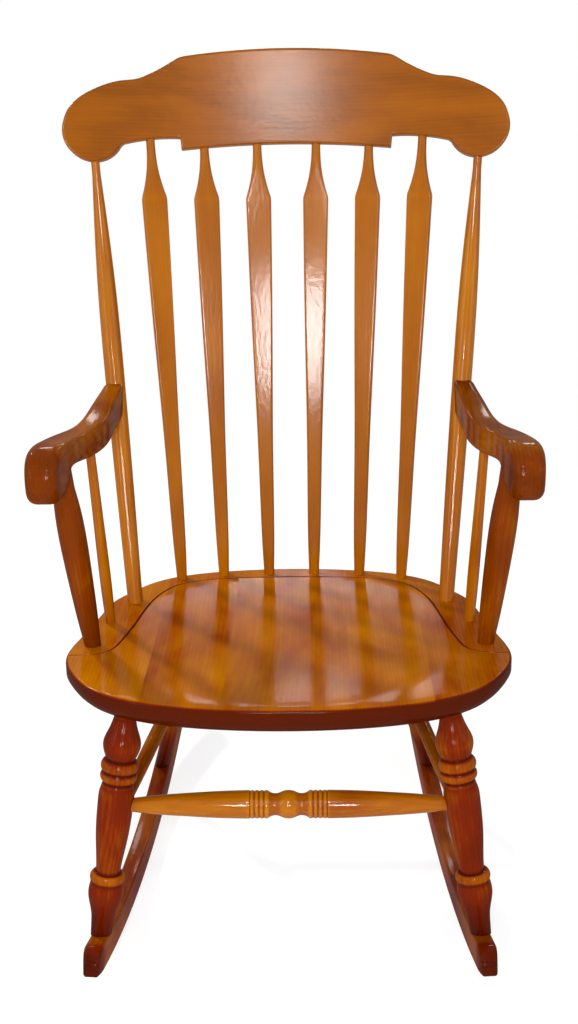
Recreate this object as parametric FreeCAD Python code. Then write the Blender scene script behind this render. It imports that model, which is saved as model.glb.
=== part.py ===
import FreeCAD, Part
import math
import os

# A rocking chair in lacquered maple. A dished seat of five glued boards stands on four turned legs
# between two bent rockers. Two posts and six arrow-shaped slats carry a bent, shaped crest rail,
# and each arm lies on a post and a spindle and is let onto its back post.
# Millimetres. +Z is up, the sitter looks along -Y, and X = 0 is the chair's middle plane.
# Z = 0 is the floor, and Y = 0 is halfway between the rockers' two tips.

V = FreeCAD.Vector
Rotation = FreeCAD.Rotation
Placement = FreeCAD.Placement

# Fits
fit_gap = 0.15
bearing_gap = 0.2
end_gap = 0.5
join_tolerance = 0.01
overrun = 20.0

# Rockers, measured from the point where they touch the floor
rocker_radius = 1100.0
rocker_height = 34.0
rocker_thickness = 24.5
front_tip_ahead = 342.0
rear_tip_behind = 407.0
tip_round = 18.0
heel_round = 5.0

# Seat
seat_front_height = 409.0
seat_tilt_degrees = 4.3
seat_half_width = 288.0
seat_depth = 499.0
seat_front_reach = 258.0
seat_thickness = 38.0
seat_edge_round = 3.5
seat_edge_band = 13.0
seat_underside_inset = 34.0
edge_break_share = 0.29
underside_shares = [(0.18, 0.465), (0.54, 0.84), (1.0, 1.0)]
dish_depth = 8.0
dish_reach = 230.0
dish_middle_ahead = 10.0
groove_width = 2.4
groove_depth = 1.6
seat_socket_depth = 24.0
balance_behind_seat_middle = 44.0

# Where the seat's outline and its groove run, as shares of the half width and of the depth
seat_outline_shares = [(0.0, 0.0), (0.378, 0.0176), (0.58, 0.0461), (0.809, 0.1186), (0.941, 0.2244),
                       (0.9965, 0.3322), (0.993, 0.393), (0.962, 0.4811), (0.913, 0.629), (0.858, 0.7577),
                       (0.806, 0.8077), (0.712, 0.885), (0.573, 0.942), (0.347, 0.982), (0.0, 1.0)]
groove_shares = [(1.12, 0.345), (0.993, 0.3469), (0.91, 0.351), (0.833, 0.366), (0.799, 0.388),
                 (0.778, 0.425), (0.753, 0.496), (0.722, 0.603), (0.684, 0.73), (0.646, 0.797),
                 (0.604, 0.842), (0.542, 0.879), (0.465, 0.9), (0.312, 0.918), (0.0, 0.93)]
board_joint_shares = [-0.618, -0.27, 0.27, 0.618]

# Legs: how far out and ahead of, or behind, the seat's middle they leave the seat,
# and how far from the floor contact their feet stand on the rockers
front_leg_out = 201.0
front_leg_ahead = 178.0
rear_leg_out = 132.0
rear_leg_behind = 138.0
front_foot_out = 243.5
front_foot_ahead = 273.0
rear_foot_out = 209.0
rear_foot_behind = 170.0
front_leg_diameter = 47.5
rear_leg_diameter = 34.0
foot_tenon_diameter = 13.0
foot_tenon_length = 24.0

# Turned outlines, as runs of (share of the length, share of the largest diameter)
front_leg_shares = [
    [(0.0, 0.58), (0.02, 0.58)],
    [(0.02, 0.58), (0.07, 0.75), (0.138, 1.0), (0.178, 0.88), (0.202, 0.76)],
    [(0.202, 0.8), (0.23, 1.0), (0.256, 0.86)],
    [(0.256, 0.86), (0.278, 0.98), (0.3, 0.8)],
    [(0.3, 0.8), (0.312, 0.79)],
    [(0.312, 0.84), (0.322, 0.85)],
    [(0.322, 0.85), (0.346, 0.93), (0.39, 0.955), (0.47, 0.93), (0.56, 0.85), (0.65, 0.715), (0.712, 0.64)],
    [(0.712, 0.8), (0.733, 0.94), (0.754, 0.86)],
    [(0.754, 0.86), (0.78, 0.92), (0.815, 0.93), (0.86, 0.8), (0.905, 0.66), (0.953, 0.6), (1.0, 0.56)],
]
rear_leg_shares = [
    [(0.0, 0.8), (0.02, 0.8)],
    [(0.02, 0.8), (0.16, 0.95), (0.32, 1.0), (0.5, 0.9), (0.67, 0.7), (0.85, 0.6), (1.0, 0.57)],
]

# Stretchers
front_stretcher_share = 0.41
front_stretcher_diameter = 35.5
side_stretcher_front_share = 0.5
side_stretcher_rear_share = 0.36
side_stretcher_diameter = 20.0
rear_stretcher_share = 0.5
rear_stretcher_diameter = 22.0
stretcher_stop = 4.0
stretcher_tenon = 19.0
ring_width = 6.0
ring_count = 4
ring_start = 24.8
ring_relief = 1.1
middle_bead_half = 9.6
cove_depth = 4.0
bead_shoulder = 2.2
scribe_width = 1.4
scribe_depth = 0.6
front_stretcher_shares = [(0.0, 0.5), (0.18, 0.66), (0.46, 0.82), (0.75, 0.95), (1.0, 1.0)]
plain_stretcher_shares = [(0.0, 0.75), (0.15, 0.82), (0.55, 0.96), (1.0, 1.0)]

# Back: the rail's lower edge, its lean and bend, and where posts and slats leave the seat and meet it
rail_rise = 596.0
rail_behind = 332.0
rail_lean_degrees = 16.4
rail_radius = 800.0
rail_thickness = 19.0
rail_height = 131.0
rail_half_width = 306.0
rail_socket_depth = 26.0
post_out = 220.5
post_behind = 108.0
post_diameter = 27.0
post_rail_out_share = 0.866
post_rail_share = -0.205
slat_seat_out_shares = [0.116, 0.349, 0.5625]
slat_seat_behind_shares = [0.955, 0.936, 0.873]
slat_seat_reach = 230.0
slat_rail_out_shares = [0.136, 0.379, 0.621]
slat_width = 36.0
slat_thickness = 13.0
post_shares = [
    [(0.0, 0.79), (0.012, 0.79)],
    [(0.012, 0.79), (0.25, 0.93), (0.5, 1.0), (0.68, 0.97), (0.85, 0.72), (0.97, 0.44)],
    [(0.97, 0.44), (1.0, 0.44)],
]
slat_shares = [
    [(0.0, 0.42), (0.008, 0.42)],
    [(0.008, 0.42), (0.05, 0.48), (0.12, 0.54), (0.31, 0.62), (0.51, 0.77), (0.69, 0.9), (0.88, 1.0)],
    [(0.88, 1.0), (0.9, 0.78), (0.918, 0.62), (0.945, 0.45), (0.98, 0.35)],
    [(0.98, 0.35), (1.0, 0.34)],
]
# The rail's right half outline, as shares of its half width and of its height, from the top's middle
rail_top_shares = [(-0.487, 0.9), (0.0, 1.0), (0.487, 0.9)]
rail_fall_shares = [(0.487, 0.9), (0.575, 0.768), (0.68, 0.652)]
rail_shoulder_shares = [(0.68, 0.652), (0.76, 0.63), (0.843, 0.56), (0.928, 0.44), (0.982, 0.29),
                        (1.0, 0.145)]
rail_ear_shares = [(1.0, 0.145), (0.867, -0.214), (0.748, -0.023)]
rail_under_shares = [(0.748, -0.023), (0.62, 0.038), (0.485, 0.053)]
rail_step_shares = [(0.485, 0.053), (0.48, -0.069)]
rail_block_shares = [(0.48, -0.069), (0.0, 0.0), (-0.48, -0.069)]

# Arms, from the front of the knuckle to the back post's axis, and the posts and spindles below them
arm_rise = 287.0
arm_length = 336.5
arm_half_spread = 312.0
arm_width = 40.5
arm_knuckle_height = 64.0
arm_post_out = 258.0
arm_post_ahead = 51.0
arm_post_inside = 8.0
arm_post_along_share = 0.243
arm_post_rise_share = -0.6
arm_post_diameter = 35.0
arm_post_socket = 16.0
arm_spindle_out = 245.0
arm_spindle_behind = 28.0
arm_spindle_inside = 11.0
arm_spindle_along_share = 0.511
arm_spindle_rise_share = -0.7
arm_spindle_diameter = 14.8
arm_dowel_diameter = 8.0
arm_dowel_in_arm = 24.0
arm_dowel_in_post = 7.0
arm_dowel_share = -0.29
arm_cope_share = 0.15
# Along the arm: the share of its length, how far its middle has come out from the post, and its width
arm_plan_shares = [(1.087, 0.06, 0.7), (1.025, 0.072, 0.71), (0.8, 0.218, 0.82), (0.615, 0.346, 0.93),
                   (0.513, 0.52, 0.98), (0.42, 0.76, 1.1), (0.277, 0.93, 1.14), (0.2, 0.96, 1.14),
                   (0.1, 0.995, 1.06), (-0.06, 0.993, 0.9)]
arm_profile_shares = [
    (1.087, 0.09), (0.882, -0.02), (0.728, -0.115), (0.579, -0.15), (0.431, -0.11), (0.252, 0.05),
    (0.133, 0.15), (0.062, 0.1), (0.017, -0.08), (0, -0.36), (0.006, -0.63), (0.03, -0.8),
    (0.074, -0.88), (0.13, -0.87), (0.178, -0.78), (0.213, -0.65), (0.246, -0.54), (0.297, -0.535),
    (0.431, -0.665), (0.609, -0.74), (0.728, -0.735), (0.877, -0.69), (1.087, -0.63)]
arm_post_shares = [
    [(0.0, 0.62), (0.015, 0.62)],
    [(0.015, 0.62), (0.13, 0.74), (0.28, 0.85), (0.46, 0.945), (0.66, 1.0), (0.8, 0.94), (0.91, 0.8)],
    [(0.91, 0.8), (1.0, 0.8)],
]
arm_spindle_shares = [
    [(0.0, 0.9), (0.015, 0.9)],
    [(0.015, 0.9), (0.12, 1.0), (0.55, 0.98), (0.98, 0.84)],
    [(0.98, 0.84), (1.0, 0.84)],
]

# Places worked out from the sizes above
contact_y = (front_tip_ahead - rear_tip_behind) / 2
seat_middle_y = contact_y - balance_behind_seat_middle
seat_tilt = math.radians(seat_tilt_degrees)
seat_middle_height = seat_front_height - seat_front_reach * math.sin(seat_tilt)
seat_place = Placement(V(0, seat_middle_y, seat_middle_height), Rotation(V(1, 0, 0), -seat_tilt_degrees))
arm_height = seat_middle_height + arm_rise
rail_place = Placement(V(0, seat_middle_y + rail_behind, seat_middle_height + rail_rise),
                       Rotation(V(1, 0, 0), -rail_lean_degrees))
toe_in = math.atan((front_foot_out - rear_foot_out) / (front_foot_ahead + rear_foot_behind))
contact_out = rear_foot_out + rear_foot_behind * math.tan(toe_in)
sides = [("left", -1), ("right", 1)]


def on_seat(out, behind, above=0.0):
    """A point given from the middle of the seat's top, in the chair's frame."""
    return seat_place.multVec(V(out, behind, above))


def on_rail(out, up):
    """A point halfway through the rail's thickness, out along its width and up its face."""
    middle_radius = rail_radius + rail_thickness / 2
    back = math.sqrt(middle_radius ** 2 - out ** 2) - rail_radius
    return rail_place.multVec(V(out, back, up))


def rail_facing(out):
    """The way the rail's front face looks at a point along its width."""
    towards = V(-out, -math.sqrt(rail_radius ** 2 - out ** 2), 0)
    return rail_place.Rotation.multVec(towards)


def curve(points):
    """A line through two points, an arc through three, and a smooth curve through more."""
    if len(points) == 2:
        return Part.LineSegment(points[0], points[1]).toShape()
    if len(points) == 3:
        return Part.Arc(points[0], points[1], points[2]).toShape()
    spline = Part.BSplineCurve()
    spline.interpolate(points)
    return spline.toShape()


def outline_face(runs):
    """A flat face bounded by runs of points, each run a line, an arc or a smooth curve."""
    return Part.Face(Part.Wire([curve(run) for run in runs]))


def scaled(shares, width, height):
    """Pairs of shares as pairs of lengths."""
    return [(share[0] * width, share[1] * height) for share in shares]


def mirrored(run):
    """The same run on the other side of X = 0, walked the other way."""
    return [V(-p.x, p.y, p.z) for p in reversed(run)]


def turned(runs):
    """A solid of revolution about Z from runs of (distance, radius)."""
    chain = [[V(radius, 0, distance) for distance, radius in run] for run in runs]
    for before, after in zip(chain[:-1], chain[1:]):
        if before[-1].distanceToPoint(after[0]) > join_tolerance:
            chain.insert(chain.index(after), [before[-1], after[0]])
        else:
            after[0] = before[-1]
    start = V(0, 0, chain[0][0].z)
    end = V(0, 0, chain[-1][-1].z)
    chain = [[start, chain[0][0]]] + chain + [[chain[-1][-1], end], [end, start]]
    return outline_face(chain).revolve(V(0, 0, 0), V(0, 0, 1), 360)


def turned_between(shares, length, diameter, first_tenon, last_tenon):
    """Runs of (distance, radius) along a length, with a straight tenon beyond each end."""
    runs = [scaled(run, length, diameter / 2) for run in shares]
    first_radius = runs[0][0][1]
    last_radius = runs[-1][-1][1]
    before = [(-first_tenon, first_radius), (0, first_radius)]
    after = [(length, last_radius), (length + last_tenon, last_radius)]
    return turned([before] + runs + [after])


def standing_frame(start, end, facing):
    """The placement that puts Z along start to end, with -Y turned towards facing."""
    return Placement(start, Rotation(V(0, 0, 0), facing * -1, end - start, "ZYX"))


def placed(solid, placement):
    """A copy of a solid, moved and turned by a placement."""
    copy = solid.copy()
    copy.Placement = placement.multiply(copy.Placement)
    return copy


def socket(mouth, inwards, radius, depth):
    """The hole for a round end: wider by the fit and deeper by the end gap, and open past its mouth."""
    direction = V(inwards).normalize()
    start = mouth - direction * overrun
    return Part.makeCylinder(radius + fit_gap, depth + end_gap + overrun, start, direction)


def cut_all(solid, tools):
    """A solid with every tool taken out of it."""
    return solid.cut(tools) if tools else solid


class Spindle:
    """A turned piece between two points, with the radius and length of its two ends."""

    def __init__(self, start, end, shares, diameter, start_depth, end_depth, facing=V(0, -1, 0)):
        self.start = start
        self.end = end
        self.start_radius = shares[0][0][1] * diameter / 2
        self.end_radius = shares[-1][-1][1] * diameter / 2
        self.start_depth = start_depth
        self.end_depth = end_depth
        self.frame = standing_frame(start, end, facing)
        self.length = start.distanceToPoint(end)
        self.body = turned_between(shares, self.length, diameter, start_depth, end_depth)

    def solid(self):
        return placed(self.body, self.frame)

    def start_socket(self):
        return socket(self.start, self.start - self.end, self.start_radius, self.start_depth)

    def end_socket(self):
        return socket(self.end, self.end - self.start, self.end_radius, self.end_depth)

    def at(self, share):
        return self.start + (self.end - self.start) * share


def rocker_top(along):
    """The height of the rocker's upper edge at a distance along it from the floor contact."""
    return rocker_radius - math.sqrt((rocker_radius - rocker_height) ** 2 - along ** 2)


def rocker_frame(side):
    """The placement of a rocker: its contact on the floor, turned in towards the back."""
    return Placement(V(side * contact_out, contact_y, 0), Rotation(V(0, 0, 1), side * math.degrees(toe_in)))


def make_rocker(side, feet):
    """An arc-edged board with rounded tips, and a blind socket for the foot of each of its legs."""
    def edge_point(radius, along):
        return V(0, along, rocker_radius - math.sqrt(radius ** 2 - along ** 2))

    inner_radius = rocker_radius - rocker_height
    front = -front_tip_ahead / math.cos(toe_in)
    rear = rear_tip_behind / math.cos(toe_in)
    inner_share = inner_radius / rocker_radius
    low = [edge_point(rocker_radius, front), V(0, 0, 0), edge_point(rocker_radius, rear)]
    high = [edge_point(inner_radius, rear * inner_share), V(0, 0, rocker_height),
            edge_point(inner_radius, front * inner_share)]
    face = outline_face([low, [low[2], high[0]], high, [high[2], low[0]]])
    face.translate(V(-rocker_thickness / 2, 0, 0))
    board = face.extrude(V(rocker_thickness, 0, 0))
    rounds = [(low[0], heel_round), (low[2], heel_round), (high[0], tip_round), (high[2], tip_round)]
    for corner, radius in rounds:
        edges = [edge for edge in board.Edges
                 if edge.distToShape(Part.Vertex(corner))[0] < join_tolerance
                 and abs(edge.Length - rocker_thickness) < join_tolerance]
        board = board.makeFillet(radius, edges)
    board = placed(board, rocker_frame(side))
    return cut_all(board, [socket(foot.end, foot.end - foot.start, foot_tenon_diameter / 2, foot_tenon_length)
                           for foot in feet])


def make_leg(leg, side, stretcher_sockets):
    """A turned leg, its foot cut to the rocker's upper edge, with a round tenon below."""
    above = rocker_radius - rocker_height - bearing_gap
    half_reach = seat_half_width
    drum = Part.makeCylinder(above, half_reach * 2, V(-half_reach, 0, rocker_radius), V(1, 0, 0))
    body = leg.solid().common(placed(drum, rocker_frame(side)))
    down = (leg.end - leg.start).normalize()
    tenon_start = leg.end - down * foot_tenon_length
    tenon = Part.makeCylinder(foot_tenon_diameter / 2, foot_tenon_length * 2, tenon_start, down)
    return cut_all(body.fuse(tenon).removeSplitter(), stretcher_sockets)


def seat_line(shares, inset=0.0):
    """Points of an outline on the seat, moved towards the inside of the line by an inset."""
    half = [V(x, y - seat_front_reach, 0) for x, y in scaled(shares, seat_half_width, seat_depth)]
    if half[0].x == 0:
        points = half + mirrored(half)[1:-1]
        ends = [points[-1]] + points + [points[0]]
        neighbours = list(zip(ends[:-2], ends[2:]))
    else:
        points = half + mirrored(half)[1:]
        ends = [points[0]] + points + [points[-1]]
        neighbours = list(zip(ends[:-2], ends[2:]))
    moved = []
    for point, (before, after) in zip(points, neighbours):
        along = (after - before).normalize()
        moved.append(point + V(-along.y, along.x, 0) * inset)
    return moved


def seat_section(inset, below):
    """The seat's outline, drawn in by an inset, at a depth below its top."""
    spline = Part.BSplineCurve()
    points = [V(p.x, p.y, -below) for p in seat_line(seat_outline_shares, inset)]
    spline.interpolate(points, PeriodicFlag=True)
    return Part.Wire(spline.toShape())


def sitting_area(inset, depth):
    """The part of the seat in front of the groove, as a prism from above the seat down to a depth."""
    line = seat_line(groove_shares, inset)
    front = -seat_front_reach - overrun
    corners = [V(line[-1].x, front, 0), V(line[0].x, front, 0)]
    face = outline_face([line, [line[-1], corners[0]], [corners[0], corners[1]], [corners[1], line[0]]])
    face.translate(V(0, 0, -depth))
    return face.extrude(V(0, 0, depth + overrun))


def make_seat(sockets):
    """The dished and grooved seat in its own tilt, cut along its glue lines into boards."""
    lower_edge = seat_edge_round + seat_edge_band
    sections = [
        seat_section(seat_edge_round, 0.0),
        seat_section(seat_edge_round * edge_break_share, seat_edge_round * edge_break_share),
        seat_section(0.0, seat_edge_round),
        seat_section(0.0, lower_edge),
    ]
    for inset, drop in scaled(underside_shares, seat_underside_inset, seat_thickness - lower_edge):
        sections.append(seat_section(inset, lower_edge + drop))
    blank = Part.makeLoft(sections, True, True)
    if blank.Volume < 0:
        blank = blank.reversed()
    ball_radius = (dish_reach ** 2 + dish_depth ** 2) / (2 * dish_depth)
    ball = Part.makeSphere(ball_radius, V(0, -dish_middle_ahead, ball_radius - dish_depth))
    dish = sitting_area(groove_width / 2, dish_depth * 2).common(ball)
    groove = sitting_area(-groove_width / 2, groove_depth).cut(sitting_area(groove_width / 2, groove_depth))
    blank = blank.cut([dish, groove])
    blank = placed(blank, seat_place).cut(sockets)
    edges = [-1.0 - overrun / seat_half_width] + board_joint_shares + [1.0 + overrun / seat_half_width]
    boards = []
    for left, right in zip(edges[:-1], edges[1:]):
        width = (right - left) * seat_half_width
        corner = V(left * seat_half_width, -seat_front_reach - overrun, -seat_thickness - overrun)
        slab = Part.makeBox(width, seat_depth + overrun * 2, seat_thickness + overrun * 2, corner)
        boards.append(blank.common(placed(slab, seat_place)))
    return boards


def make_rail(sockets):
    """A bent board: its flat outline pushed through a ring of the rail's radius and thickness."""
    def run(shares):
        return [V(x, 0, z) for x, z in scaled(shares, rail_half_width, rail_height)]

    right = [run(s) for s in (rail_fall_shares, rail_shoulder_shares, rail_ear_shares, rail_under_shares,
                              rail_step_shares)]
    runs = [run(rail_top_shares)] + right + [run(rail_block_shares)]
    runs = runs + [mirrored(r) for r in reversed(right)]
    face = outline_face(runs)
    reach = rail_half_width + rail_thickness
    face.translate(V(0, -reach, 0))
    board = face.extrude(V(0, reach * 2, 0))
    foot = V(0, -rail_radius, -rail_height / 2)
    ring = Part.makeCylinder(rail_radius + rail_thickness, rail_height * 2, foot)
    ring = ring.cut(Part.makeCylinder(rail_radius, rail_height * 2, foot))
    return placed(board.common(ring), rail_place).cut(sockets)


def make_arm(side, post, tools):
    """A sawn arm: its plan and its side outline crossed, coped to the front of the back post."""
    joint = arm_joint(post)
    outer = [V(side * (arm_middle(joint, bend) + width / 2), along, 0) for along, bend, width in arm_plan()]
    inner = [V(side * (arm_middle(joint, bend) - width / 2), along, 0) for along, bend, width in arm_plan()]
    inner.reverse()
    top = outline_face([outer, [outer[-1], inner[0]], inner, [inner[-1], outer[0]]])
    reach = arm_knuckle_height * 2
    top.translate(V(0, 0, -reach))
    blank = top.extrude(V(0, 0, reach * 2))
    profile = [V(0, y, z) for y, z in scaled(arm_profile_shares, arm_length, arm_knuckle_height)]
    cheek = outline_face([profile, [profile[-1], profile[0]]])
    cheek = cheek.extrude(V(side * arm_half_spread * 2, 0, 0))
    arm = placed(blank.common(cheek), Placement(V(0, joint.y - arm_length, arm_height), Rotation()))
    keep_length = arm_length * 2
    keep_width = (arm_half_spread + overrun) * 2
    corner = V(-keep_width / 2, joint.y - post_diameter * arm_cope_share - keep_length, joint.z - reach)
    keep = Part.makeBox(keep_width, keep_length, reach * 2, corner)
    grown = turned_between(post_shares, post.length, post_diameter + fit_gap * 2, overrun, overrun)
    return arm.common(keep).cut([placed(grown, post.frame)] + tools)


def arm_plan():
    """The arm's plan as (length from its front, share of the bend, width)."""
    return [(along * arm_length, bend, width * arm_width) for along, bend, width in arm_plan_shares]


def arm_middle(joint, bend):
    """How far out the arm's middle is, bent from its back post towards its full spread."""
    post_out_there = abs(joint.x)
    return post_out_there + bend * (arm_half_spread - arm_width / 2 - post_out_there)


def arm_point(side, post, along_share, inside, rise_share):
    """A point in the arm: a share of its length, in from its middle, and a share of the knuckle's height."""
    joint = arm_joint(post)
    plan = sorted(arm_plan_shares)
    before, after = [pair for pair in zip(plan[:-1], plan[1:]) if pair[0][0] <= along_share][-1]
    step = (along_share - before[0]) / (after[0] - before[0])
    bend = before[1] + (after[1] - before[1]) * step
    return V(side * (arm_middle(joint, bend) - inside), joint.y - arm_length * (1 - along_share),
             arm_height + arm_knuckle_height * rise_share)


def arm_joint(post):
    """The point on a back post's axis at the height of the middle of the arm's rear end."""
    height = arm_height + arm_knuckle_height * arm_dowel_share
    return post.at((height - post.start.z) / (post.end.z - post.start.z))


def save(name, shape):
    """One STEP file for each named piece."""
    shape.exportStep(os.path.join("parts", name + ".step"))
    print(name, len(shape.Solids), round(shape.Volume), shape.isValid())


def front_stretcher_runs():
    """Half of the front stretcher's outline from its end to its middle, with rings, a cove and a bead."""
    radius = front_stretcher_diameter / 2
    groove = radius - ring_relief
    ring_end = ring_start + ring_width * ring_count
    runs = []
    for ring in range(ring_count):
        outer = ring_end - ring * ring_width
        runs.append([(outer, groove), (outer - ring_width / 2, radius), (outer - ring_width, groove)])
    bead = radius - bead_shoulder
    cove_middle = (ring_start + middle_bead_half) / 2
    runs.append([(ring_start, groove), (cove_middle, radius - cove_depth), (middle_bead_half, bead)])
    return ring_end, runs


def make_front_stretcher(start, end):
    """The turned front stretcher, the same from either end."""
    length = start.distanceToPoint(end)
    ring_end, runs = front_stretcher_runs()
    taper_length = length / 2 - ring_end - stretcher_tenon
    swelling = scaled(front_stretcher_shares, taper_length, front_stretcher_diameter / 2)
    taper = [(length / 2 - stretcher_tenon - distance, radius) for distance, radius in swelling]
    tenon = [(length / 2, taper[0][1]), taper[0]]
    half = [tenon, taper] + runs
    bead = [(middle_bead_half, half[-1][-1][1]), (0, front_stretcher_diameter / 2),
            (-middle_bead_half, half[-1][-1][1])]
    other = [[(-distance, radius) for distance, radius in reversed(run)] for run in reversed(half)]
    whole = [[(length / 2 - distance, radius) for distance, radius in run] for run in half + [bead] + other]
    return placed(turned(whole), standing_frame(start, end, V(0, -1, 0)))


def make_plain_stretcher(start, end, diameter, scribed):
    """A stretcher that swells to its middle, with or without a scribed line there."""
    length = start.distanceToPoint(end)
    swelling = scaled(plain_stretcher_shares, length / 2 - stretcher_tenon, diameter / 2)
    half = [(stretcher_tenon + distance, radius) for distance, radius in swelling]
    far = [(length - distance, radius) for distance, radius in reversed(half)]
    start_tenon = [(0, half[0][1]), half[0]]
    end_tenon = [far[-1], (length, far[-1][1])]
    runs = [half, far]
    if scribed:
        flank = scribe_width / 2
        half[-1] = (length / 2 - flank, diameter / 2)
        far[0] = (length / 2 + flank, diameter / 2)
        floor = (length / 2, diameter / 2 - scribe_depth)
        runs = [half, [half[-1], floor], [floor, far[0]], far]
    return placed(turned([start_tenon] + runs + [end_tenon]), standing_frame(start, end, V(0, 0, -1)))


def stretcher_line(first_leg, first_share, second_leg, second_share):
    """The two ends of a stretcher, each stopping short of the axis of its leg."""
    start = first_leg.at(first_share)
    end = second_leg.at(second_share)
    step = (end - start).normalize() * stretcher_stop
    return start + step, end - step


os.makedirs("parts", exist_ok=True)

# Legs as lines and turned bodies, before their sockets
legs = {}
for name, side in sides:
    front_rise = rocker_top(front_foot_ahead / math.cos(toe_in))
    rear_rise = rocker_top(rear_foot_behind / math.cos(toe_in))
    front_foot = V(side * front_foot_out, contact_y - front_foot_ahead, front_rise)
    rear_foot = V(side * rear_foot_out, contact_y + rear_foot_behind, rear_rise)
    front_top = on_seat(side * front_leg_out, -front_leg_ahead, -seat_thickness)
    rear_top = on_seat(side * rear_leg_out, rear_leg_behind, -seat_thickness)
    legs["front_" + name] = Spindle(front_top, front_foot, front_leg_shares, front_leg_diameter,
                                    seat_socket_depth, foot_tenon_length / 2)
    legs["rear_" + name] = Spindle(rear_top, rear_foot, rear_leg_shares, rear_leg_diameter,
                                   seat_socket_depth, foot_tenon_length / 2)

# Stretchers and the sockets that they need
leg_sockets = {key: [] for key in legs}
lines = {
    "front_stretcher": ("front_left", front_stretcher_share, "front_right", front_stretcher_share),
    "rear_stretcher": ("rear_left", rear_stretcher_share, "rear_right", rear_stretcher_share),
}
for name, side in sides:
    lines[name + "_side_stretcher"] = ("front_" + name, side_stretcher_front_share,
                                       "rear_" + name, side_stretcher_rear_share)
for name, (first, first_share, second, second_share) in lines.items():
    start, end = stretcher_line(legs[first], first_share, legs[second], second_share)
    if name == "front_stretcher":
        solid = make_front_stretcher(start, end)
        end_radius = front_stretcher_diameter / 2 * front_stretcher_shares[0][1]
    elif name == "rear_stretcher":
        solid = make_plain_stretcher(start, end, rear_stretcher_diameter, False)
        end_radius = rear_stretcher_diameter / 2 * plain_stretcher_shares[0][1]
    else:
        solid = make_plain_stretcher(start, end, side_stretcher_diameter, True)
        end_radius = side_stretcher_diameter / 2 * plain_stretcher_shares[0][1]
    save(name, solid)
    for key, near, far in ((first, start, end), (second, end, start)):
        outwards = (far - near).normalize()
        reach = front_leg_diameter / 2 + overrun
        hole = Part.makeCylinder(end_radius + fit_gap, reach + end_gap, near - outwards * end_gap, outwards)
        leg_sockets[key].append(hole)

for key, leg in legs.items():
    side = 1 if key.endswith("right") else -1
    place, name = key.split("_")
    save(place + "_" + name + "_leg", make_leg(leg, side, leg_sockets[key]))

for name, side in sides:
    save(name + "_rocker", make_rocker(side, [legs["front_" + name], legs["rear_" + name]]))

# Posts and slats of the back
seat_sockets = [leg.start_socket() for leg in legs.values()]
rail_sockets = []
posts = {}
for name, side in sides:
    post_top = on_rail(side * post_rail_out_share * rail_half_width, post_rail_share * rail_height)
    posts[name] = Spindle(on_seat(side * post_out, post_behind), post_top, post_shares, post_diameter,
                          seat_socket_depth, rail_socket_depth)
    seat_sockets.append(posts[name].start_socket())
    rail_sockets.append(posts[name].end_socket())

slat_number = 0
for side, order in ((-1, (2, 1, 0)), (1, (0, 1, 2))):
    for i in order:
        slat_number += 1
        rail_out = side * slat_rail_out_shares[i] * rail_half_width
        seat_out = side * slat_seat_out_shares[i] * seat_half_width
        foot = on_seat(seat_out, slat_seat_behind_shares[i] * slat_seat_reach)
        slat = Spindle(foot, on_rail(rail_out, 0), slat_shares, slat_width, seat_socket_depth,
                       rail_socket_depth, rail_facing(rail_out))
        slab_length = slat.length + seat_socket_depth + rail_socket_depth + overrun * 2
        slab = Part.makeBox(slat_width * 2, slat_thickness, slab_length,
                            V(-slat_width, -slat_thickness / 2, -seat_socket_depth - overrun))
        save("arrow_slat_%d" % slat_number, placed(slat.body.common(slab), slat.frame))
        seat_sockets.append(slat.start_socket())
        rail_sockets.append(slat.end_socket())

save("crest_rail", make_rail(rail_sockets))

# Arms with their posts, spindles and dowels
for name, side in sides:
    post = posts[name]
    post_top = arm_point(side, post, arm_post_along_share, arm_post_inside, arm_post_rise_share)
    spindle_top = arm_point(side, post, arm_spindle_along_share, arm_spindle_inside, arm_spindle_rise_share)
    arm_post = Spindle(on_seat(side * arm_post_out, -arm_post_ahead), post_top,
                       arm_post_shares, arm_post_diameter, seat_socket_depth, arm_post_socket)
    spindle = Spindle(on_seat(side * arm_spindle_out, arm_spindle_behind), spindle_top,
                      arm_spindle_shares, arm_spindle_diameter, seat_socket_depth, arm_post_socket)
    joint = arm_joint(post)
    front_of_post = joint - V(0, post_diameter / 2, 0)
    dowel_start = front_of_post - V(0, arm_dowel_in_arm, 0)
    dowel_length = arm_dowel_in_arm + arm_dowel_in_post
    dowel = Part.makeCylinder(arm_dowel_diameter / 2, dowel_length, dowel_start, V(0, 1, 0))
    dowel_hole = Part.makeCylinder(arm_dowel_diameter / 2 + fit_gap, dowel_length + end_gap * 2,
                                   dowel_start - V(0, end_gap, 0), V(0, 1, 0))
    save(name + "_arm", make_arm(side, post, [arm_post.end_socket(), spindle.end_socket(), dowel_hole]))
    save(name + "_arm_dowel", dowel)
    save(name + "_arm_post", arm_post.solid())
    save(name + "_arm_spindle", spindle.solid())
    save(name + "_back_post", post.solid().cut(dowel_hole))
    seat_sockets.append(arm_post.start_socket())
    seat_sockets.append(spindle.start_socket())

for number, board in enumerate(make_seat(seat_sockets), start=1):
    save("seat_board_%d" % number, board)
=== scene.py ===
"""The finish of a lacquered maple rocking chair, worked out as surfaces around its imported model.

Metres, +Z up, the sitter looks along -Y, and X = 0 is the chair's middle plane. Every turned piece is a
lathe profile, every sawn piece is an outline with eased edges, and the seat is five glued boards.
"""

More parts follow.
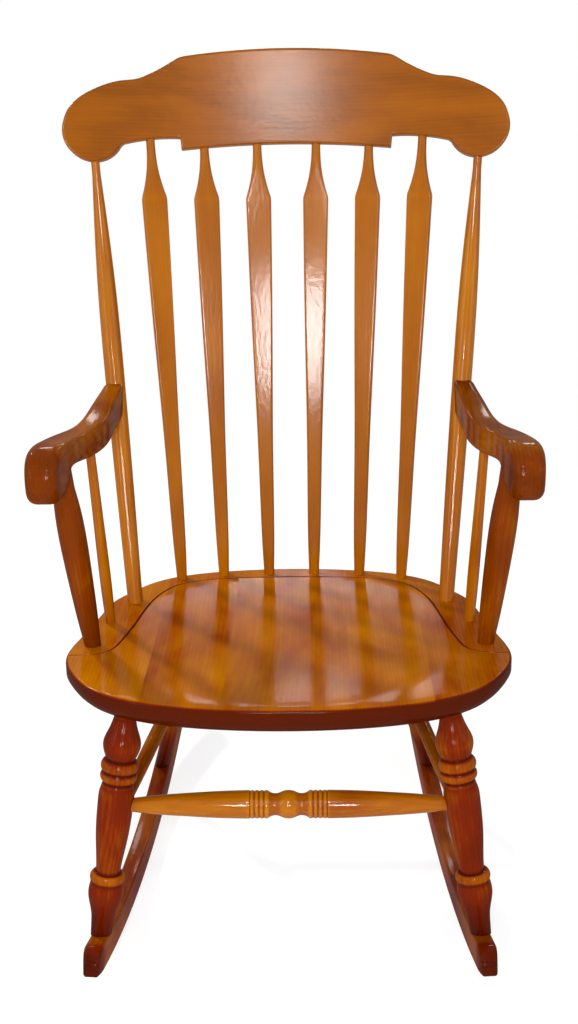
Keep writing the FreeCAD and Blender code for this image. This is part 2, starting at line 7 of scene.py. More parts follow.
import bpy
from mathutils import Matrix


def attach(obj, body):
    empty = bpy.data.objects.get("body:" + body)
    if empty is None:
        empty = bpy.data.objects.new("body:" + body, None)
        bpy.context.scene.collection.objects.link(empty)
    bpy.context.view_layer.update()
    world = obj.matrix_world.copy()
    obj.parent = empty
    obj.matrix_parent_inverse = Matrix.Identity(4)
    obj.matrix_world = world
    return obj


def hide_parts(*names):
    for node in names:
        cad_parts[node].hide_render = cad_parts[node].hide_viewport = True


bl_info = {
    "name": "Arrow-back rocking chair",
    "version": (1, 0, 0),
    "blender": (4, 5, 0),
    "location": "View3D > Sidebar > Rocker",
    "description": "Builds the visible pieces of a lacquered maple rocking chair around its packed model",
    "category": "Add Mesh",
}

import math

import bmesh
import bpy
import numpy as np
from bpy.props import FloatProperty, FloatVectorProperty, IntProperty, PointerProperty, StringProperty
from mathutils import Matrix, Vector

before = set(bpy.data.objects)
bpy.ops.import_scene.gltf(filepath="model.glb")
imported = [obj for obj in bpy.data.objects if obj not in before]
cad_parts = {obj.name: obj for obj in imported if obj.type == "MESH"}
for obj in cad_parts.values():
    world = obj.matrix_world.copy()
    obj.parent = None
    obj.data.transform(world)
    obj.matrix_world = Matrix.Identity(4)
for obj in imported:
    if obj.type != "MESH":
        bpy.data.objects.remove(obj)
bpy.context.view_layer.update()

BODY = "root"
SIDES = (("left", -1), ("right", 1))

# The seat's outline and its groove, as shares of the half width and of the depth from the front edge
SEAT_OUTLINE_SHARES = [(0.0, 0.0), (0.378, 0.0176), (0.58, 0.0461), (0.809, 0.1186), (0.941, 0.2244),
                       (0.9965, 0.3322), (0.993, 0.393), (0.962, 0.4811), (0.913, 0.629), (0.858, 0.7577),
                       (0.806, 0.8077), (0.712, 0.885), (0.573, 0.942), (0.347, 0.982), (0.0, 1.0)]
GROOVE_SHARES = [(1.12, 0.345), (0.993, 0.3469), (0.91, 0.351), (0.833, 0.366), (0.799, 0.388),
                 (0.778, 0.425), (0.753, 0.496), (0.722, 0.603), (0.684, 0.73), (0.646, 0.797),
                 (0.604, 0.842), (0.542, 0.879), (0.465, 0.9), (0.312, 0.918), (0.0, 0.93)]
# The seat's edge below its upright band, as shares of the underside's inset and of the depth left
UNDERSIDE_SHARES = [(0.0, 0.0), (0.18, 0.465), (0.54, 0.84), (1.0, 1.0)]
BOARD_JOINT_SHARES = [-1.0, -0.618, -0.27, 0.27, 0.618, 1.0]

# Lathe profiles, as runs of (share of the length, share of the largest diameter)
FRONT_LEG_SHARES = [
    [(0.0, 0.58), (0.02, 0.58)],
    [(0.02, 0.58), (0.07, 0.75), (0.138, 1.0), (0.178, 0.88), (0.202, 0.76)],
    [(0.202, 0.8), (0.23, 1.0), (0.256, 0.86)],
    [(0.256, 0.86), (0.278, 0.98), (0.3, 0.8)],
    [(0.3, 0.8), (0.312, 0.79)],
    [(0.312, 0.84), (0.322, 0.85)],
    [(0.322, 0.85), (0.346, 0.93), (0.39, 0.955), (0.47, 0.93), (0.56, 0.85), (0.65, 0.715), (0.712, 0.64)],
    [(0.712, 0.8), (0.733, 0.94), (0.754, 0.86)],
    [(0.754, 0.86), (0.78, 0.92), (0.815, 0.93), (0.86, 0.8), (0.905, 0.66), (0.953, 0.6), (1.0, 0.56)],
]
REAR_LEG_SHARES = [
    [(0.0, 0.8), (0.02, 0.8)],
    [(0.02, 0.8), (0.16, 0.95), (0.32, 1.0), (0.5, 0.9), (0.67, 0.7), (0.85, 0.6), (1.0, 0.57)],
]
BACK_POST_SHARES = [
    [(0.0, 0.79), (0.012, 0.79)],
    [(0.012, 0.79), (0.25, 0.93), (0.5, 1.0), (0.68, 0.97), (0.85, 0.72), (0.97, 0.44)],
    [(0.97, 0.44), (1.0, 0.44)],
]
ARROW_SLAT_SHARES = [
    [(0.0, 0.42), (0.008, 0.42)],
    [(0.008, 0.42), (0.05, 0.48), (0.12, 0.54), (0.31, 0.62), (0.51, 0.77), (0.69, 0.9), (0.88, 1.0)],
    [(0.88, 1.0), (0.9, 0.78), (0.918, 0.62), (0.945, 0.45), (0.98, 0.35)],
    [(0.98, 0.35), (1.0, 0.34)],
]
ARM_POST_SHARES = [
    [(0.0, 0.62), (0.015, 0.62)],
    [(0.015, 0.62), (0.13, 0.74), (0.28, 0.85), (0.46, 0.945), (0.66, 1.0), (0.8, 0.94), (0.91, 0.8)],
    [(0.91, 0.8), (1.0, 0.8)],
]
ARM_SPINDLE_SHARES = [
    [(0.0, 0.9), (0.015, 0.9)],
    [(0.015, 0.9), (0.12, 1.0), (0.55, 0.98), (0.98, 0.84)],
    [(0.98, 0.84), (1.0, 0.84)],
]
FRONT_STRETCHER_SHARES = [(0.0, 0.5), (0.18, 0.66), (0.46, 0.82), (0.75, 0.95), (1.0, 1.0)]
PLAIN_STRETCHER_SHARES = [(0.0, 0.75), (0.15, 0.82), (0.55, 0.96), (1.0, 1.0)]

# The crest rail's right half outline, as shares of its half width and of its height
RAIL_TOP_SHARES = [(-0.487, 0.9), (0.0, 1.0), (0.487, 0.9)]
RAIL_RIGHT_SHARES = [
    [(0.487, 0.9), (0.575, 0.768), (0.68, 0.652)],
    [(0.68, 0.652), (0.76, 0.63), (0.843, 0.56), (0.928, 0.44), (0.982, 0.29), (1.0, 0.145)],
    [(1.0, 0.145), (0.867, -0.214), (0.748, -0.023)],
    [(0.748, -0.023), (0.62, 0.038), (0.485, 0.053)],
    [(0.485, 0.053), (0.48, -0.069)],
]
RAIL_BLOCK_SHARES = [(0.48, -0.069), (0.0, 0.0), (-0.48, -0.069)]
SLAT_SEAT_OUT_SHARES = [0.116, 0.349, 0.5625]
SLAT_SEAT_BEHIND_SHARES = [0.955, 0.936, 0.873]
SLAT_RAIL_OUT_SHARES = [0.136, 0.379, 0.621]

# Along the arm: the share of its length, how far its middle has come out from the post, and its width
ARM_PLAN_SHARES = [(1.087, 0.06, 0.7), (1.025, 0.072, 0.71), (0.8, 0.218, 0.82), (0.615, 0.346, 0.93),
                   (0.513, 0.52, 0.98), (0.42, 0.76, 1.1), (0.277, 0.93, 1.14), (0.2, 0.96, 1.14),
                   (0.1, 0.995, 1.06), (-0.06, 0.993, 0.9)]
# The arm's side outline, as shares of its length and of the knuckle's height, from the rear end of its top
ARM_PROFILE_SHARES = [(1.087, 0.09), (0.882, -0.02), (0.728, -0.115), (0.579, -0.15), (0.431, -0.11),
                      (0.252, 0.05), (0.133, 0.15), (0.062, 0.1), (0.017, -0.08), (0.0, -0.36),
                      (0.006, -0.63), (0.03, -0.8), (0.074, -0.88), (0.13, -0.87), (0.178, -0.78),
                      (0.213, -0.65), (0.246, -0.54), (0.297, -0.535), (0.431, -0.665), (0.609, -0.74),
                      (0.728, -0.735), (0.877, -0.69), (1.087, -0.63)]
# Points of that outline: the neck above, the knuckle's tip, and the neck below
ARM_MARKS = (6, 12, 16)

# Each kind of piece: its slot, its finish, and how much lighter or darker than that finish it is
KINDS = {
    "seat_board": ("seat_wood", "seat", -0.08),
    "rocker": ("base_wood", "base", -0.45),
    "front_leg": ("base_wood", "base", -0.65),
    "rear_leg": ("base_wood", "base", -0.45),
    "front_stretcher": ("base_wood", "post", -0.15),
    "plain_stretcher": ("base_wood", "base", -0.2),
    "back_post": ("arm_wood", "post", 0.05),
    "slat": ("back_wood", "slat", -0.25),
    "crest_rail": ("back_wood", "rail", -0.7),
    "arm": ("arm_wood", "arm", -0.45),
    "arm_post": ("arm_wood", "arm", -0.75),
    "arm_spindle": ("arm_wood", "post", -0.15),
}
# How far the seat's boards differ from each other
BOARD_TONE_SPREAD = 0.25

# Each finish: its pair of colours, and its coat's weight and roughness. The planed slats and rail are
# rubbed duller than the turned posts, and the arms are worn thin by hands.
FINISHES = {
    "seat": ("seat", 0.09, 0.12),
    "rail": ("back", 0.32, 0.22),
    "slat": ("back", 0.35, 0.13),
    "arm": ("arm", 0.11, 0.1),
    "post": ("post", 0.35, 0.1),
    "base": ("base", 0.1, 0.1),
}

# Growth rings 5 mm apart: a wave texture of scale 1 has one ring in 0.314 m
RING_SPACING = 0.005
WAVE_PERIOD = 0.314
# Each noise in the wood: its size in millimetres across, through and along the growth, its detail,
# roughness and distortion, and how far it is moved so that no two fall together
WOOD_NOISES = {
    # Clouds of uneven stain
    "clouds": ((62.5, 62.5, 166.67), 3.0, 0.55, 0.4, (0, 0, 0)),
    # Streaks of darker growth
    "streaks": ((5.263, 5.263, 125.0), 3.0, 0.6, 0.2, (3, 1, 7)),
    # Fibres, really 0.1 mm wide, drawn 0.7 mm wide and 15 mm long so that they show
    "fibres": ((0.7143, 0.7143, 15.385), 2.0, 0.5, 0.0, (1, 5, 2)),
    # Orange peel of the sprayed coat
    "peel": ((4.762, 4.762, 8.333), 1.0, 0.4, 0.0, (9, 2, 4)),
}
# How far each pattern moves the colour from dark to light, and where it starts
COLOUR_START = 0.12
# The last weight darkens the colour where stain gathers and where shade is painted: in grooves, at cut
# ends, round the seat's edge, and towards the feet
COLOUR_WEIGHTS = {"rings": 0.03, "clouds": 0.52, "streaks": 0.13, "fibres": 0.07,
                  "tone": 0.3, "stain_and_shade": -0.4}
# How far each pattern raises the coat, in shares of the relief's height in metres
RELIEF_WEIGHTS = {"peel": 0.8, "streaks": 0.35}
RELIEF_HEIGHT = 0.00012
# A birch fibre as it is drawn, in millimetres across, along and across
BIRCH_FIBRE = (1.111, 16.667, 1.111)

# Stain gathers, and shade is painted, where a radius is this far below the mean within that reach, and the
# stain wears off the crests
RECESS_REACH = 0.005
RECESS_DEPTH = 0.0015
RECESS_LIMITS = (-0.3, 1.0)
# Stain and painted shade in the seat's groove, the share of the end stain on the arms, and the share of its
# reach up the feet, where it paints shade towards the bottom
GROOVE_STAIN_AND_SHADE = 1.6
ARM_STAIN_SHARE = 0.6
FOOT_SHADE_SHARE = 0.4

FRONT = (0, -1, 0)
# Stretchers are turned in their legs with this side to the front, which sets how their figure lies
STRETCHER_FACING = (0.0, -0.3, -1.0)
# How much of a socket its tenon fills, in seat, rail and legs, and in the arms
TENON_SHARE = 0.9
ARM_TENON_SHARE = 0.8
# A foot goes this far into its rocker, and bends to it over this length
FOOT_BITE = 0.0006
FOOT_REACH = 0.012
# How far the edges of the seat's groove are rounded over
GROOVE_LIP = 0.0004
# A slat's arris: the widest angle of its edge, and how softly blade and edge meet
LARGEST_EDGE = math.radians(80)
ARRIS_SOFTNESS = 0.0005
# Edges that turn further than this are shaded sharp, and points this close together are one
SHARP_ANGLE = math.radians(32)
DOUBLES_WITHIN = 1e-6
SLIVERS_WITHIN = 1e-7

WHITE = (1.0, 1.0, 1.0, 1.0)
WORLD_LIGHT = 0.2
# To the camera the floor shows the chair's shadow up to the near distance and is white from the far one
FLOOR_NEAR = 1.0
FLOOR_FAR = 2.4
# Near the chair it is a dark paint, which the lamps light and the chair shades, and a glow that evens it
FLOOR_SHADE = (0.28, 0.28, 0.28, 1.0)
FLOOR_GLOW = 0.79
CAMERA_REACH = 200.0
# Soft lamps: name, place, the point each faces, width and height in metres, and watts
CHAIR_MIDDLE = (0.0, 0.0, 0.6)
LAMPS = (
    ("strip_softbox", (-1.7, -1.5, 1.6), (0.0, 0.0, 1.3), 0.2, 1.7, 8.0),
    ("flash", (-0.03, -1.95, 1.45), CHAIR_MIDDLE, 0.06, 0.06, 5.0),
    ("left_slat_softbox", (-0.24, -2.1, 1.03), (0.0, 0.2, 0.75), 0.14, 0.32, 14.0),
    ("right_slat_softbox", (0.19, -2.1, 1.03), (0.0, 0.2, 0.75), 0.14, 0.32, 13.0),
    ("crest_softbox", (-0.03, -2.1, 2.3), (0.0, 0.2, 1.0), 0.36, 0.22, 23.0),
    ("back_softbox", (-1.6, 1.8, 2.2), (0.0, 0.0, 0.5), 0.2, 0.2, 52.0),
    ("low_rear_window", (0.01, 2.4, 1.04), CHAIR_MIDDLE, 0.2, 0.04, 1.0),
    ("high_rear_window", (0.0, 2.4, 1.36), CHAIR_MIDDLE, 0.8, 0.04, 6.0),
    ("left_window", (-0.75, 2.4, 1.6), (-0.3, 0.0, 0.7), 0.25, 0.25, 5.0),
    ("right_window", (0.75, 2.4, 1.6), (0.3, 0.0, 0.7), 0.25, 0.25, 5.0),
    ("fill_softbox", (2.2, -1.2, 1.6), CHAIR_MIDDLE, 1.4, 1.4, 11.0),
    ("left_softbox", (-2.2, -1.0, 1.6), CHAIR_MIDDLE, 1.4, 1.4, 8.0),
)


def length(name, description, default):
    """A size in metres that a user can change."""
    return FloatProperty(name=name, description=description, default=default, unit="LENGTH", precision=4)


def share(name, description, default):
    """A share of another size."""
    return FloatProperty(name=name, description=description, default=default)


def angle(name, description, degrees):
    """An angle that a user can change, given in degrees."""
    return FloatProperty(name=name, description=description, default=math.radians(degrees), subtype="ANGLE")


def stain(name, description, default):
    """A colour as an sRGB hex value."""
    return StringProperty(name=name, description=description, default=default)


class SeatSizes(bpy.types.PropertyGroup):
    front_height: length("Front height", "Top of the seat's front edge above the floor", 0.409)
    tilt: angle("Tilt", "How far the seat falls towards the back", 4.3)
    half_width: length("Half width", "Middle plane to the widest point", 0.288)
    depth: length("Depth", "Front edge to rear edge", 0.499)
    front_reach: length("Front reach", "Seat's middle to its front edge", 0.258)
    thickness: length("Thickness", "Thickness of the boards", 0.038)
    edge_round: length("Edge round", "Radius of the top edge", 0.0035)
    edge_band: length("Edge band", "Height of the upright band below the round", 0.013)
    underside_inset: length("Underside inset", "How far the underside is drawn in", 0.034)
    dish_depth: length("Dish depth", "Depth of the dished middle", 0.008)
    dish_reach: length("Dish reach", "Radius at which the dish ends", 0.23)
    dish_ahead: length("Dish ahead", "Dish's deepest point ahead of the seat's middle", 0.01)
    groove_width: length("Groove width", "Width of the scribed groove", 0.0024)
    groove_depth: length("Groove depth", "Depth of the scribed groove", 0.0016)
    # This darkens the seat's whole edge band and underside: partly stain in the end grain, partly painted
    # shade
    edge_stain_and_shade: share("Edge stain", "How much more stain the end grain at the seat's edge takes", 1.9)
    behind_balance: length("Behind balance", "Balance point behind the seat's middle", 0.044)


class BaseSizes(bpy.types.PropertyGroup):
    rocker_radius: length("Rocker radius", "Radius of the rockers' lower edge", 1.1)
    rocker_height: length("Rocker height", "Height of a rocker", 0.034)
    rocker_thickness: length("Rocker thickness", "Thickness of a rocker", 0.0245)
    front_tip_ahead: length("Front tip", "Front tip ahead of the floor contact", 0.342)
    rear_tip_behind: length("Rear tip", "Rear tip behind the floor contact", 0.407)
    tip_round: length("Tip round", "Radius of a tip's upper corner", 0.025)
    heel_round: length("Heel round", "Radius of a tip's lower corner", 0.0045)
    edge_easing: length("Edge easing", "Radius of a rocker's long edges", 0.0038)
    nose_reach: length("Nose", "How far from its tips a rocker is drawn in", 0.024)
    nose_share: share("Nose width", "A tip's thickness, in rocker thicknesses", 0.55)
    front_leg_out: length("Front leg out", "Where the front leg leaves the seat", 0.201)
    front_leg_ahead: length("Front leg ahead", "Where the front leg leaves the seat", 0.178)
    rear_leg_out: length("Rear leg out", "Where the rear leg leaves the seat", 0.132)
    rear_leg_behind: length("Rear leg behind", "Where the rear leg leaves the seat", 0.138)
    front_foot_out: length("Front foot out", "Where the front foot stands", 0.2435)
    front_foot_ahead: length("Front foot ahead", "Front foot ahead of the floor contact", 0.273)
    rear_foot_out: length("Rear foot out", "Where the rear foot stands", 0.209)
    rear_foot_behind: length("Rear foot behind", "Rear foot behind the floor contact", 0.17)
    front_leg_diameter: length("Front leg", "Largest diameter of a front leg", 0.0475)
    rear_leg_diameter: length("Rear leg", "Largest diameter of a rear leg", 0.034)
    front_stretcher_share: share("Front stretcher", "Where it crosses the front legs", 0.41)
    side_front_share: share("Side stretcher, front", "Where it meets the front leg", 0.5)
    side_rear_share: share("Side stretcher, rear", "Where it meets the rear leg", 0.36)
    rear_stretcher_share: share("Rear stretcher", "Where it crosses the rear legs", 0.5)
    front_stretcher_diameter: length("Front stretcher", "Largest diameter", 0.0355)
    side_stretcher_diameter: length("Side stretcher", "Largest diameter", 0.02)
    rear_stretcher_diameter: length("Rear stretcher", "Largest diameter", 0.022)
    stretcher_stop: length("Stretcher stop", "How far an end stops short of the leg's axis", 0.004)
    stretcher_tenon: length("Stretcher tenon", "Straight end inside the leg", 0.019)
    ring_width: length("Ring width", "Width of one turned ring", 0.006)
    ring_count: IntProperty(name="Rings", description="Rings on each side of the middle bead", default=4)
    ring_start: length("Ring start", "First ring's distance from the middle", 0.0248)
    ring_relief: length("Ring relief", "Depth of the grooves between rings", 0.0014)
    bead_half: length("Bead half", "Half the middle bead's length", 0.0096)
    bead_shoulder: length("Bead shoulder", "How far the bead's ends are lower", 0.0022)
    cove_depth: length("Cove depth", "Depth of the coves beside the bead", 0.004)
    scribe_width: length("Scribe width", "Scribed line on a side stretcher", 0.0014)
    scribe_depth: length("Scribe depth", "Scribed line on a side stretcher", 0.0006)


class BackSizes(bpy.types.PropertyGroup):
    rail_rise: length("Rail rise", "Rail's lower edge above the seat's middle", 0.596)
    rail_behind: length("Rail behind", "Rail's lower edge behind the seat's middle", 0.332)
    rail_lean: angle("Rail lean", "How far the rail leans back", 16.4)
    rail_radius: length("Rail radius", "Radius of the rail's bend", 0.8)
    rail_thickness: length("Rail thickness", "Thickness of the rail", 0.019)
    rail_height: length("Rail height", "Height of the rail at its middle", 0.131)
    rail_half_width: length("Rail half width", "Middle to the tip of an ear", 0.306)
    rail_easing: length("Rail easing", "Radius of the rail's edges", 0.0035)
    socket_depth: length("Socket depth", "How deep posts and slats stand in rail and seat", 0.024)
    post_out: length("Post out", "Where a back post leaves the seat", 0.2205)
    post_behind: length("Post behind", "Where a back post leaves the seat", 0.108)
    post_diameter: length("Post diameter", "Largest diameter of a back post", 0.027)
    post_rail_out_share: share("Post, rail out", "Where a post meets the rail", 0.866)
    post_rail_share: share("Post, rail height", "Where a post meets the rail", -0.205)
    slat_seat_reach: length("Slat reach", "Radius on which the slats stand", 0.23)
    slat_width: length("Slat width", "Widest point of a slat", 0.036)
    slat_thickness: length("Slat thickness", "Thickness of a slat's blade", 0.013)


class ArmSizes(bpy.types.PropertyGroup):
    rise: length("Rise", "Arm's datum above the seat's middle", 0.287)
    length: length("Length", "Knuckle's front to the back post's axis", 0.3365)
    half_spread: length("Half spread", "Middle plane to the arm's outer face", 0.312)
    width: length("Width", "Width of the arm", 0.0405)
    knuckle_height: length("Knuckle height", "Height of the scrolled knuckle", 0.064)
    outer_round: length("Outer round", "Radius of the outer edges", 0.012)
    inner_round: length("Inner round", "Radius of the inner edges", 0.0045)
    knuckle_round: length("Knuckle round", "Radius of both edges at the knuckle", 0.0125)
    knuckle_start: length("Knuckle start", "Where the edges begin to widen", 0.1)
    knuckle_full: length("Knuckle full", "Where the edges have their full radius", 0.045)
    post_out: length("Post out", "Where the arm's post leaves the seat", 0.258)
    post_ahead: length("Post ahead", "Where the arm's post leaves the seat", 0.051)
    post_inside: length("Post inside", "Post's top in from the arm's middle", 0.008)
    post_along_share: share("Post along", "Post's top along the arm", 0.243)
    post_rise_share: share("Post rise", "Post's top below the datum", -0.6)
    post_diameter: length("Post diameter", "Largest diameter of the arm's post", 0.035)
    spindle_out: length("Spindle out", "Where the spindle leaves the seat", 0.245)
    spindle_behind: length("Spindle behind", "Where the spindle leaves the seat", 0.028)
    spindle_inside: length("Spindle inside", "Spindle's top in from the arm's middle", 0.011)
    spindle_along_share: share("Spindle along", "Spindle's top along the arm", 0.511)
    spindle_rise_share: share("Spindle rise", "Spindle's top below the datum", -0.7)
    spindle_diameter: length("Spindle diameter", "Largest diameter of the spindle", 0.0148)
    socket_depth: length("Socket depth", "How deep posts stand in the arm", 0.016)
    joint_share: share("Joint height", "Middle of the arm's rear end below the datum", -0.29)
    cope_share: share("Cope", "Arm's end ahead of the post's axis, in post diameters", 0.15)


class FinishColours(bpy.types.PropertyGroup):
    seat_light: stain("Seat, light", "Seat boards between the growth rings", "#C67E00")
    seat_dark: stain("Seat, dark", "Seat boards at the growth rings", "#802800")
    back_light: stain("Back, light", "Crest rail and slats between the growth rings", "#B26B00")
    back_dark: stain("Back, dark", "Crest rail and slats at the growth rings", "#8C4A00")
    arm_light: stain("Arms, light", "Arms and their posts between the growth rings", "#C47800")
    arm_dark: stain("Arms, dark", "Arms and their posts at the growth rings", "#702E00")
    post_light: stain("Back posts, light", "Back posts and spindles between the growth rings", "#BE7802")
    post_dark: stain("Back posts, dark", "Back posts and spindles at the growth rings", "#7A3000")
    base_light: stain("Base, light", "Legs, stretchers and rockers between the growth rings", "#BE6E00")
    base_dark: stain("Base, dark", "Legs, stretchers and rockers at the growth rings", "#6A1C00")
    dowel: stain("Dowel", "Unstained birch dowels", "#D8B888")
    # Cut ends are darkened by this: stain in the end grain, and painted shade at the rockers' tips and up
    # the feet
    end_stain_and_shade: share("End stain", "How much more stain the cut ends of rockers and arms take", 0.8)
    end_reach: length("End reach", "How far from a cut end its deeper stain is seen", 0.035)
    floor: stain("Floor", "Pale studio floor", "#F2F2F0")


class StudioSettings(bpy.types.PropertyGroup):
    camera_place: FloatVectorProperty(name="Camera place", description="Where the camera stands",
                                      subtype="XYZ", default=(0.0394, -1.8343, 1.264), unit="LENGTH")
    camera_yaw: angle("Camera yaw", "Turn to the left", 1.212)
    camera_pitch: angle("Camera pitch", "Look down", 21.843)
    camera_roll: angle("Camera roll", "Turn about the line of sight", -0.9425)
    focal_pixels: FloatProperty(name="Focal length", description="In pixels of the photograph's height",
                                default=1452.6)
    picture_height: FloatProperty(name="Picture height", description="In pixels", default=1024.0)
    sensor: FloatProperty(name="Sensor", description="Long side in millimetres", default=36.0)
    floor_size: length("Floor size", "Side of the studio floor", 90.0)
    floor_drop: length("Floor drop", "Floor below the rockers' lowest line", 0.0002)


# The property groups by the name that they have on the scene
GROUPS = {"rocker_seat": SeatSizes, "rocker_base": BaseSizes, "rocker_back": BackSizes,
          "rocker_arms": ArmSizes, "rocker_finish": FinishColours, "rocker_studio": StudioSettings}


# Curves and frames


def spline_through(points, count, closed=False):
    """Cubic spline through points, with the chords' lengths as its parameter.

    The second derivatives solve the usual three-term system: zero at open ends, periodic when closed.
    """
    points = np.asarray(points, float)
    if closed:
        points = np.vstack([points, points[:1]])
    steps = np.linalg.norm(np.diff(points, axis=0), axis=1)
    knots = np.concatenate([[0.0], np.cumsum(steps)])
    slopes = np.diff(points, axis=0) / steps[:, None]
    system = np.zeros((len(points), len(points)))
    change = np.zeros(points.shape)
    inner = np.arange(1, len(points) - 1)
    system[inner, inner - 1] = steps[:-1]
    system[inner, inner] = 2 * (steps[:-1] + steps[1:])
    system[inner, inner + 1] = steps[1:]
    change[1:-1] = 6 * np.diff(slopes, axis=0)
    system[0, 0] = 1
    if closed:
        system[0, -1] = -1
        system[-1, -2:] = steps[-1], 0
        system[-1, :2] = 2 * (steps[-1] + steps[0]), steps[0]
        change[-1] = 6 * (slopes[0] - slopes[-1])
    else:
        system[-1, -1] = 1
    bends = np.linalg.solve(system, change)
    at = np.linspace(0, knots[-1], count)
    k = np.clip(np.searchsorted(knots, at, side="right") - 1, 0, len(steps) - 1)
    b = ((at - knots[k]) / steps[k])[:, None]
    a = 1 - b
    bow = ((a ** 3 - a) * bends[k] + (b ** 3 - b) * bends[k + 1]) * steps[k][:, None] ** 2 / 6
    return a * points[k] + b * points[k + 1] + bow


def arc_through(points, count):
    """Arc through three points: its centre is where the bisectors of the two chords meet."""
    first, middle, last = [complex(*p) for p in points]
    ratio = (last - first) / (middle - first)
    centre = first + (middle - first) * (ratio - abs(ratio) ** 2) / (2j * ratio.imag)
    sweep = np.angle((middle - centre) / (first - centre)) + np.angle((last - centre) / (middle - centre))
    around = centre + (first - centre) * np.exp(1j * sweep * np.linspace(0, 1, count))
    return np.stack([around.real, around.imag], axis=1)


def run_through(points, count):
    """A line through two points, an arc through three, and a spline through more."""
    if len(points) == 2:
        return np.linspace(points[0], points[1], count)
    if len(points) == 3:
        return arc_through(points, count)
    return spline_through(points, count)


def sized(shares, width, height):
    """Pairs of shares as pairs of lengths."""
    return np.asarray(shares, float) * (width, height)


def evenly(points, step):
    """A polyline resampled at equal steps of its length."""
    travel = np.concatenate([[0.0], np.cumsum(np.linalg.norm(np.diff(points, axis=0), axis=1))])
    at = np.linspace(0, travel[-1], max(2, int(round(travel[-1] / step)) + 1))
    return np.stack([np.interp(at, travel, points[:, i]) for i in range(points.shape[1])], axis=1)


def eased(points, reach):
    """A polyline averaged over reach points on each side, which rounds its corners and keeps its ends."""
    padded = np.pad(points, ((reach, reach), (0, 0)), mode="edge")
    weights = np.bartlett(2 * reach + 3)[1:-1]
    weights /= weights.sum()
    soft = np.stack([np.convolve(padded[:, i], weights, mode="valid")
                     for i in range(points.shape[1])], axis=1)
    soft[0] = points[0]
    soft[-1] = points[-1]
    return soft


def unit(vector):
    """A vector divided by its length."""
    return np.asarray(vector, float) / np.linalg.norm(vector)


def turn_x(turn):
    """Rotation about X that tips +Y towards +Z."""
    return np.array([[1, 0, 0], [0, math.cos(turn), -math.sin(turn)], [0, math.sin(turn), math.cos(turn)]])


def turn_z(turn):
    """Rotation about Z that turns +X towards +Y."""
    return np.array([[math.cos(turn), -math.sin(turn), 0], [math.sin(turn), math.cos(turn), 0], [0, 0, 1]])


class Place:
    """A turned and moved frame: points go from its own axes to the chair's."""

    def __init__(self, origin, turn):
        self.origin = np.asarray(origin, float)
        self.turn = turn

    def __call__(self, points):
        return np.asarray(points, float) @ self.turn.T + self.origin


class Layout:
    """Where seat, rail, legs, posts and arms stand, worked out from the sizes."""

    def __init__(self, scene):
        self.seat = seat = scene.rocker_seat
        self.base = base = scene.rocker_base
        self.back = back = scene.rocker_back
        self.arms = arms = scene.rocker_arms
        self.colours = scene.rocker_finish
        self.contact = (base.front_tip_ahead - base.rear_tip_behind) / 2
        self.middle = self.contact - seat.behind_balance
        self.height = seat.front_height - seat.front_reach * math.sin(seat.tilt)
        self.on_seat = Place((0, self.middle, self.height), turn_x(-seat.tilt))
        self.on_rail = Place((0, self.middle + back.rail_behind, self.height + back.rail_rise),
                             turn_x(-back.rail_lean))
        self.toe_in = math.atan((base.front_foot_out - base.rear_foot_out)
                                / (base.front_foot_ahead + base.rear_foot_behind))
        self.contact_out = base.rear_foot_out + base.rear_foot_behind * math.tan(self.toe_in)
        self.arm_height = self.height + arms.rise

    def rail_point(self, out, up):
        """A point halfway through the rail: out along its bend and up its face."""
        middle = self.back.rail_radius + self.back.rail_thickness / 2
        return self.on_rail((out, math.sqrt(middle ** 2 - out ** 2) - self.back.rail_radius, up))

    def rail_facing(self, out):
        """The way the rail's front looks at a point along its width."""
        return self.on_rail.turn @ (-out, -math.sqrt(self.back.rail_radius ** 2 - out ** 2), 0)

    def rocker_place(self, side):
        """A rocker's own frame: its floor contact, turned by the toe-in."""
        return Place((side * self.contact_out, self.contact, 0), turn_z(side * self.toe_in))

    def rocker_top(self, along):
        """Height of a rocker's upper edge at a distance along it from the floor contact."""
        inner = self.base.rocker_radius - self.base.rocker_height
        return self.base.rocker_radius - np.sqrt(inner ** 2 - along ** 2)

    def leg_line(self, end, side):
        """A leg's axis from the underside of the seat to the top of its rocker."""
        base = self.base
        if end == "front":
            out, behind = base.front_leg_out, -base.front_leg_ahead
            foot_out, foot_behind = base.front_foot_out, -base.front_foot_ahead
        else:
            out, behind = base.rear_leg_out, base.rear_leg_behind
            foot_out, foot_behind = base.rear_foot_out, base.rear_foot_behind
        top = self.on_seat((side * out, behind, -self.seat.thickness))
        rise = self.rocker_top(foot_behind / math.cos(self.toe_in))
        return top, np.array([side * foot_out, self.contact + foot_behind, rise])

    def post_line(self, side):
        """A back post's axis from the seat to the ear of the rail."""
        back = self.back
        foot = self.on_seat((side * back.post_out, back.post_behind, 0))
        return foot, self.rail_point(side * back.post_rail_out_share * back.rail_half_width,
                                     back.post_rail_share * back.rail_height)

    def arm_joint(self, side):
        """The point on a back post's axis at the middle of the arm's rear end."""
        foot, top = self.post_line(side)
        height = self.arm_height + self.arms.knuckle_height * self.arms.joint_share
        return foot + (top - foot) * (height - foot[2]) / (top[2] - foot[2])

    def arm_middle(self, side, bend):
        """How far out the arm's middle is, bent from its back post towards its full spread."""
        start = abs(self.arm_joint(side)[0])
        return start + bend * (self.arms.half_spread - self.arms.width / 2 - start)

    def arm_point(self, side, along, inside, rise):
        """A point in the arm at shares of its length and of the knuckle's height, in from its middle."""
        plan = np.array(sorted(ARM_PLAN_SHARES))
        bend = np.interp(along, plan[:, 0], plan[:, 1])
        front = self.arm_joint(side)[1] - self.arms.length
        return np.array([side * (self.arm_middle(side, bend) - inside), front + along * self.arms.length,
                         self.arm_height + rise * self.arms.knuckle_height])


# Meshes


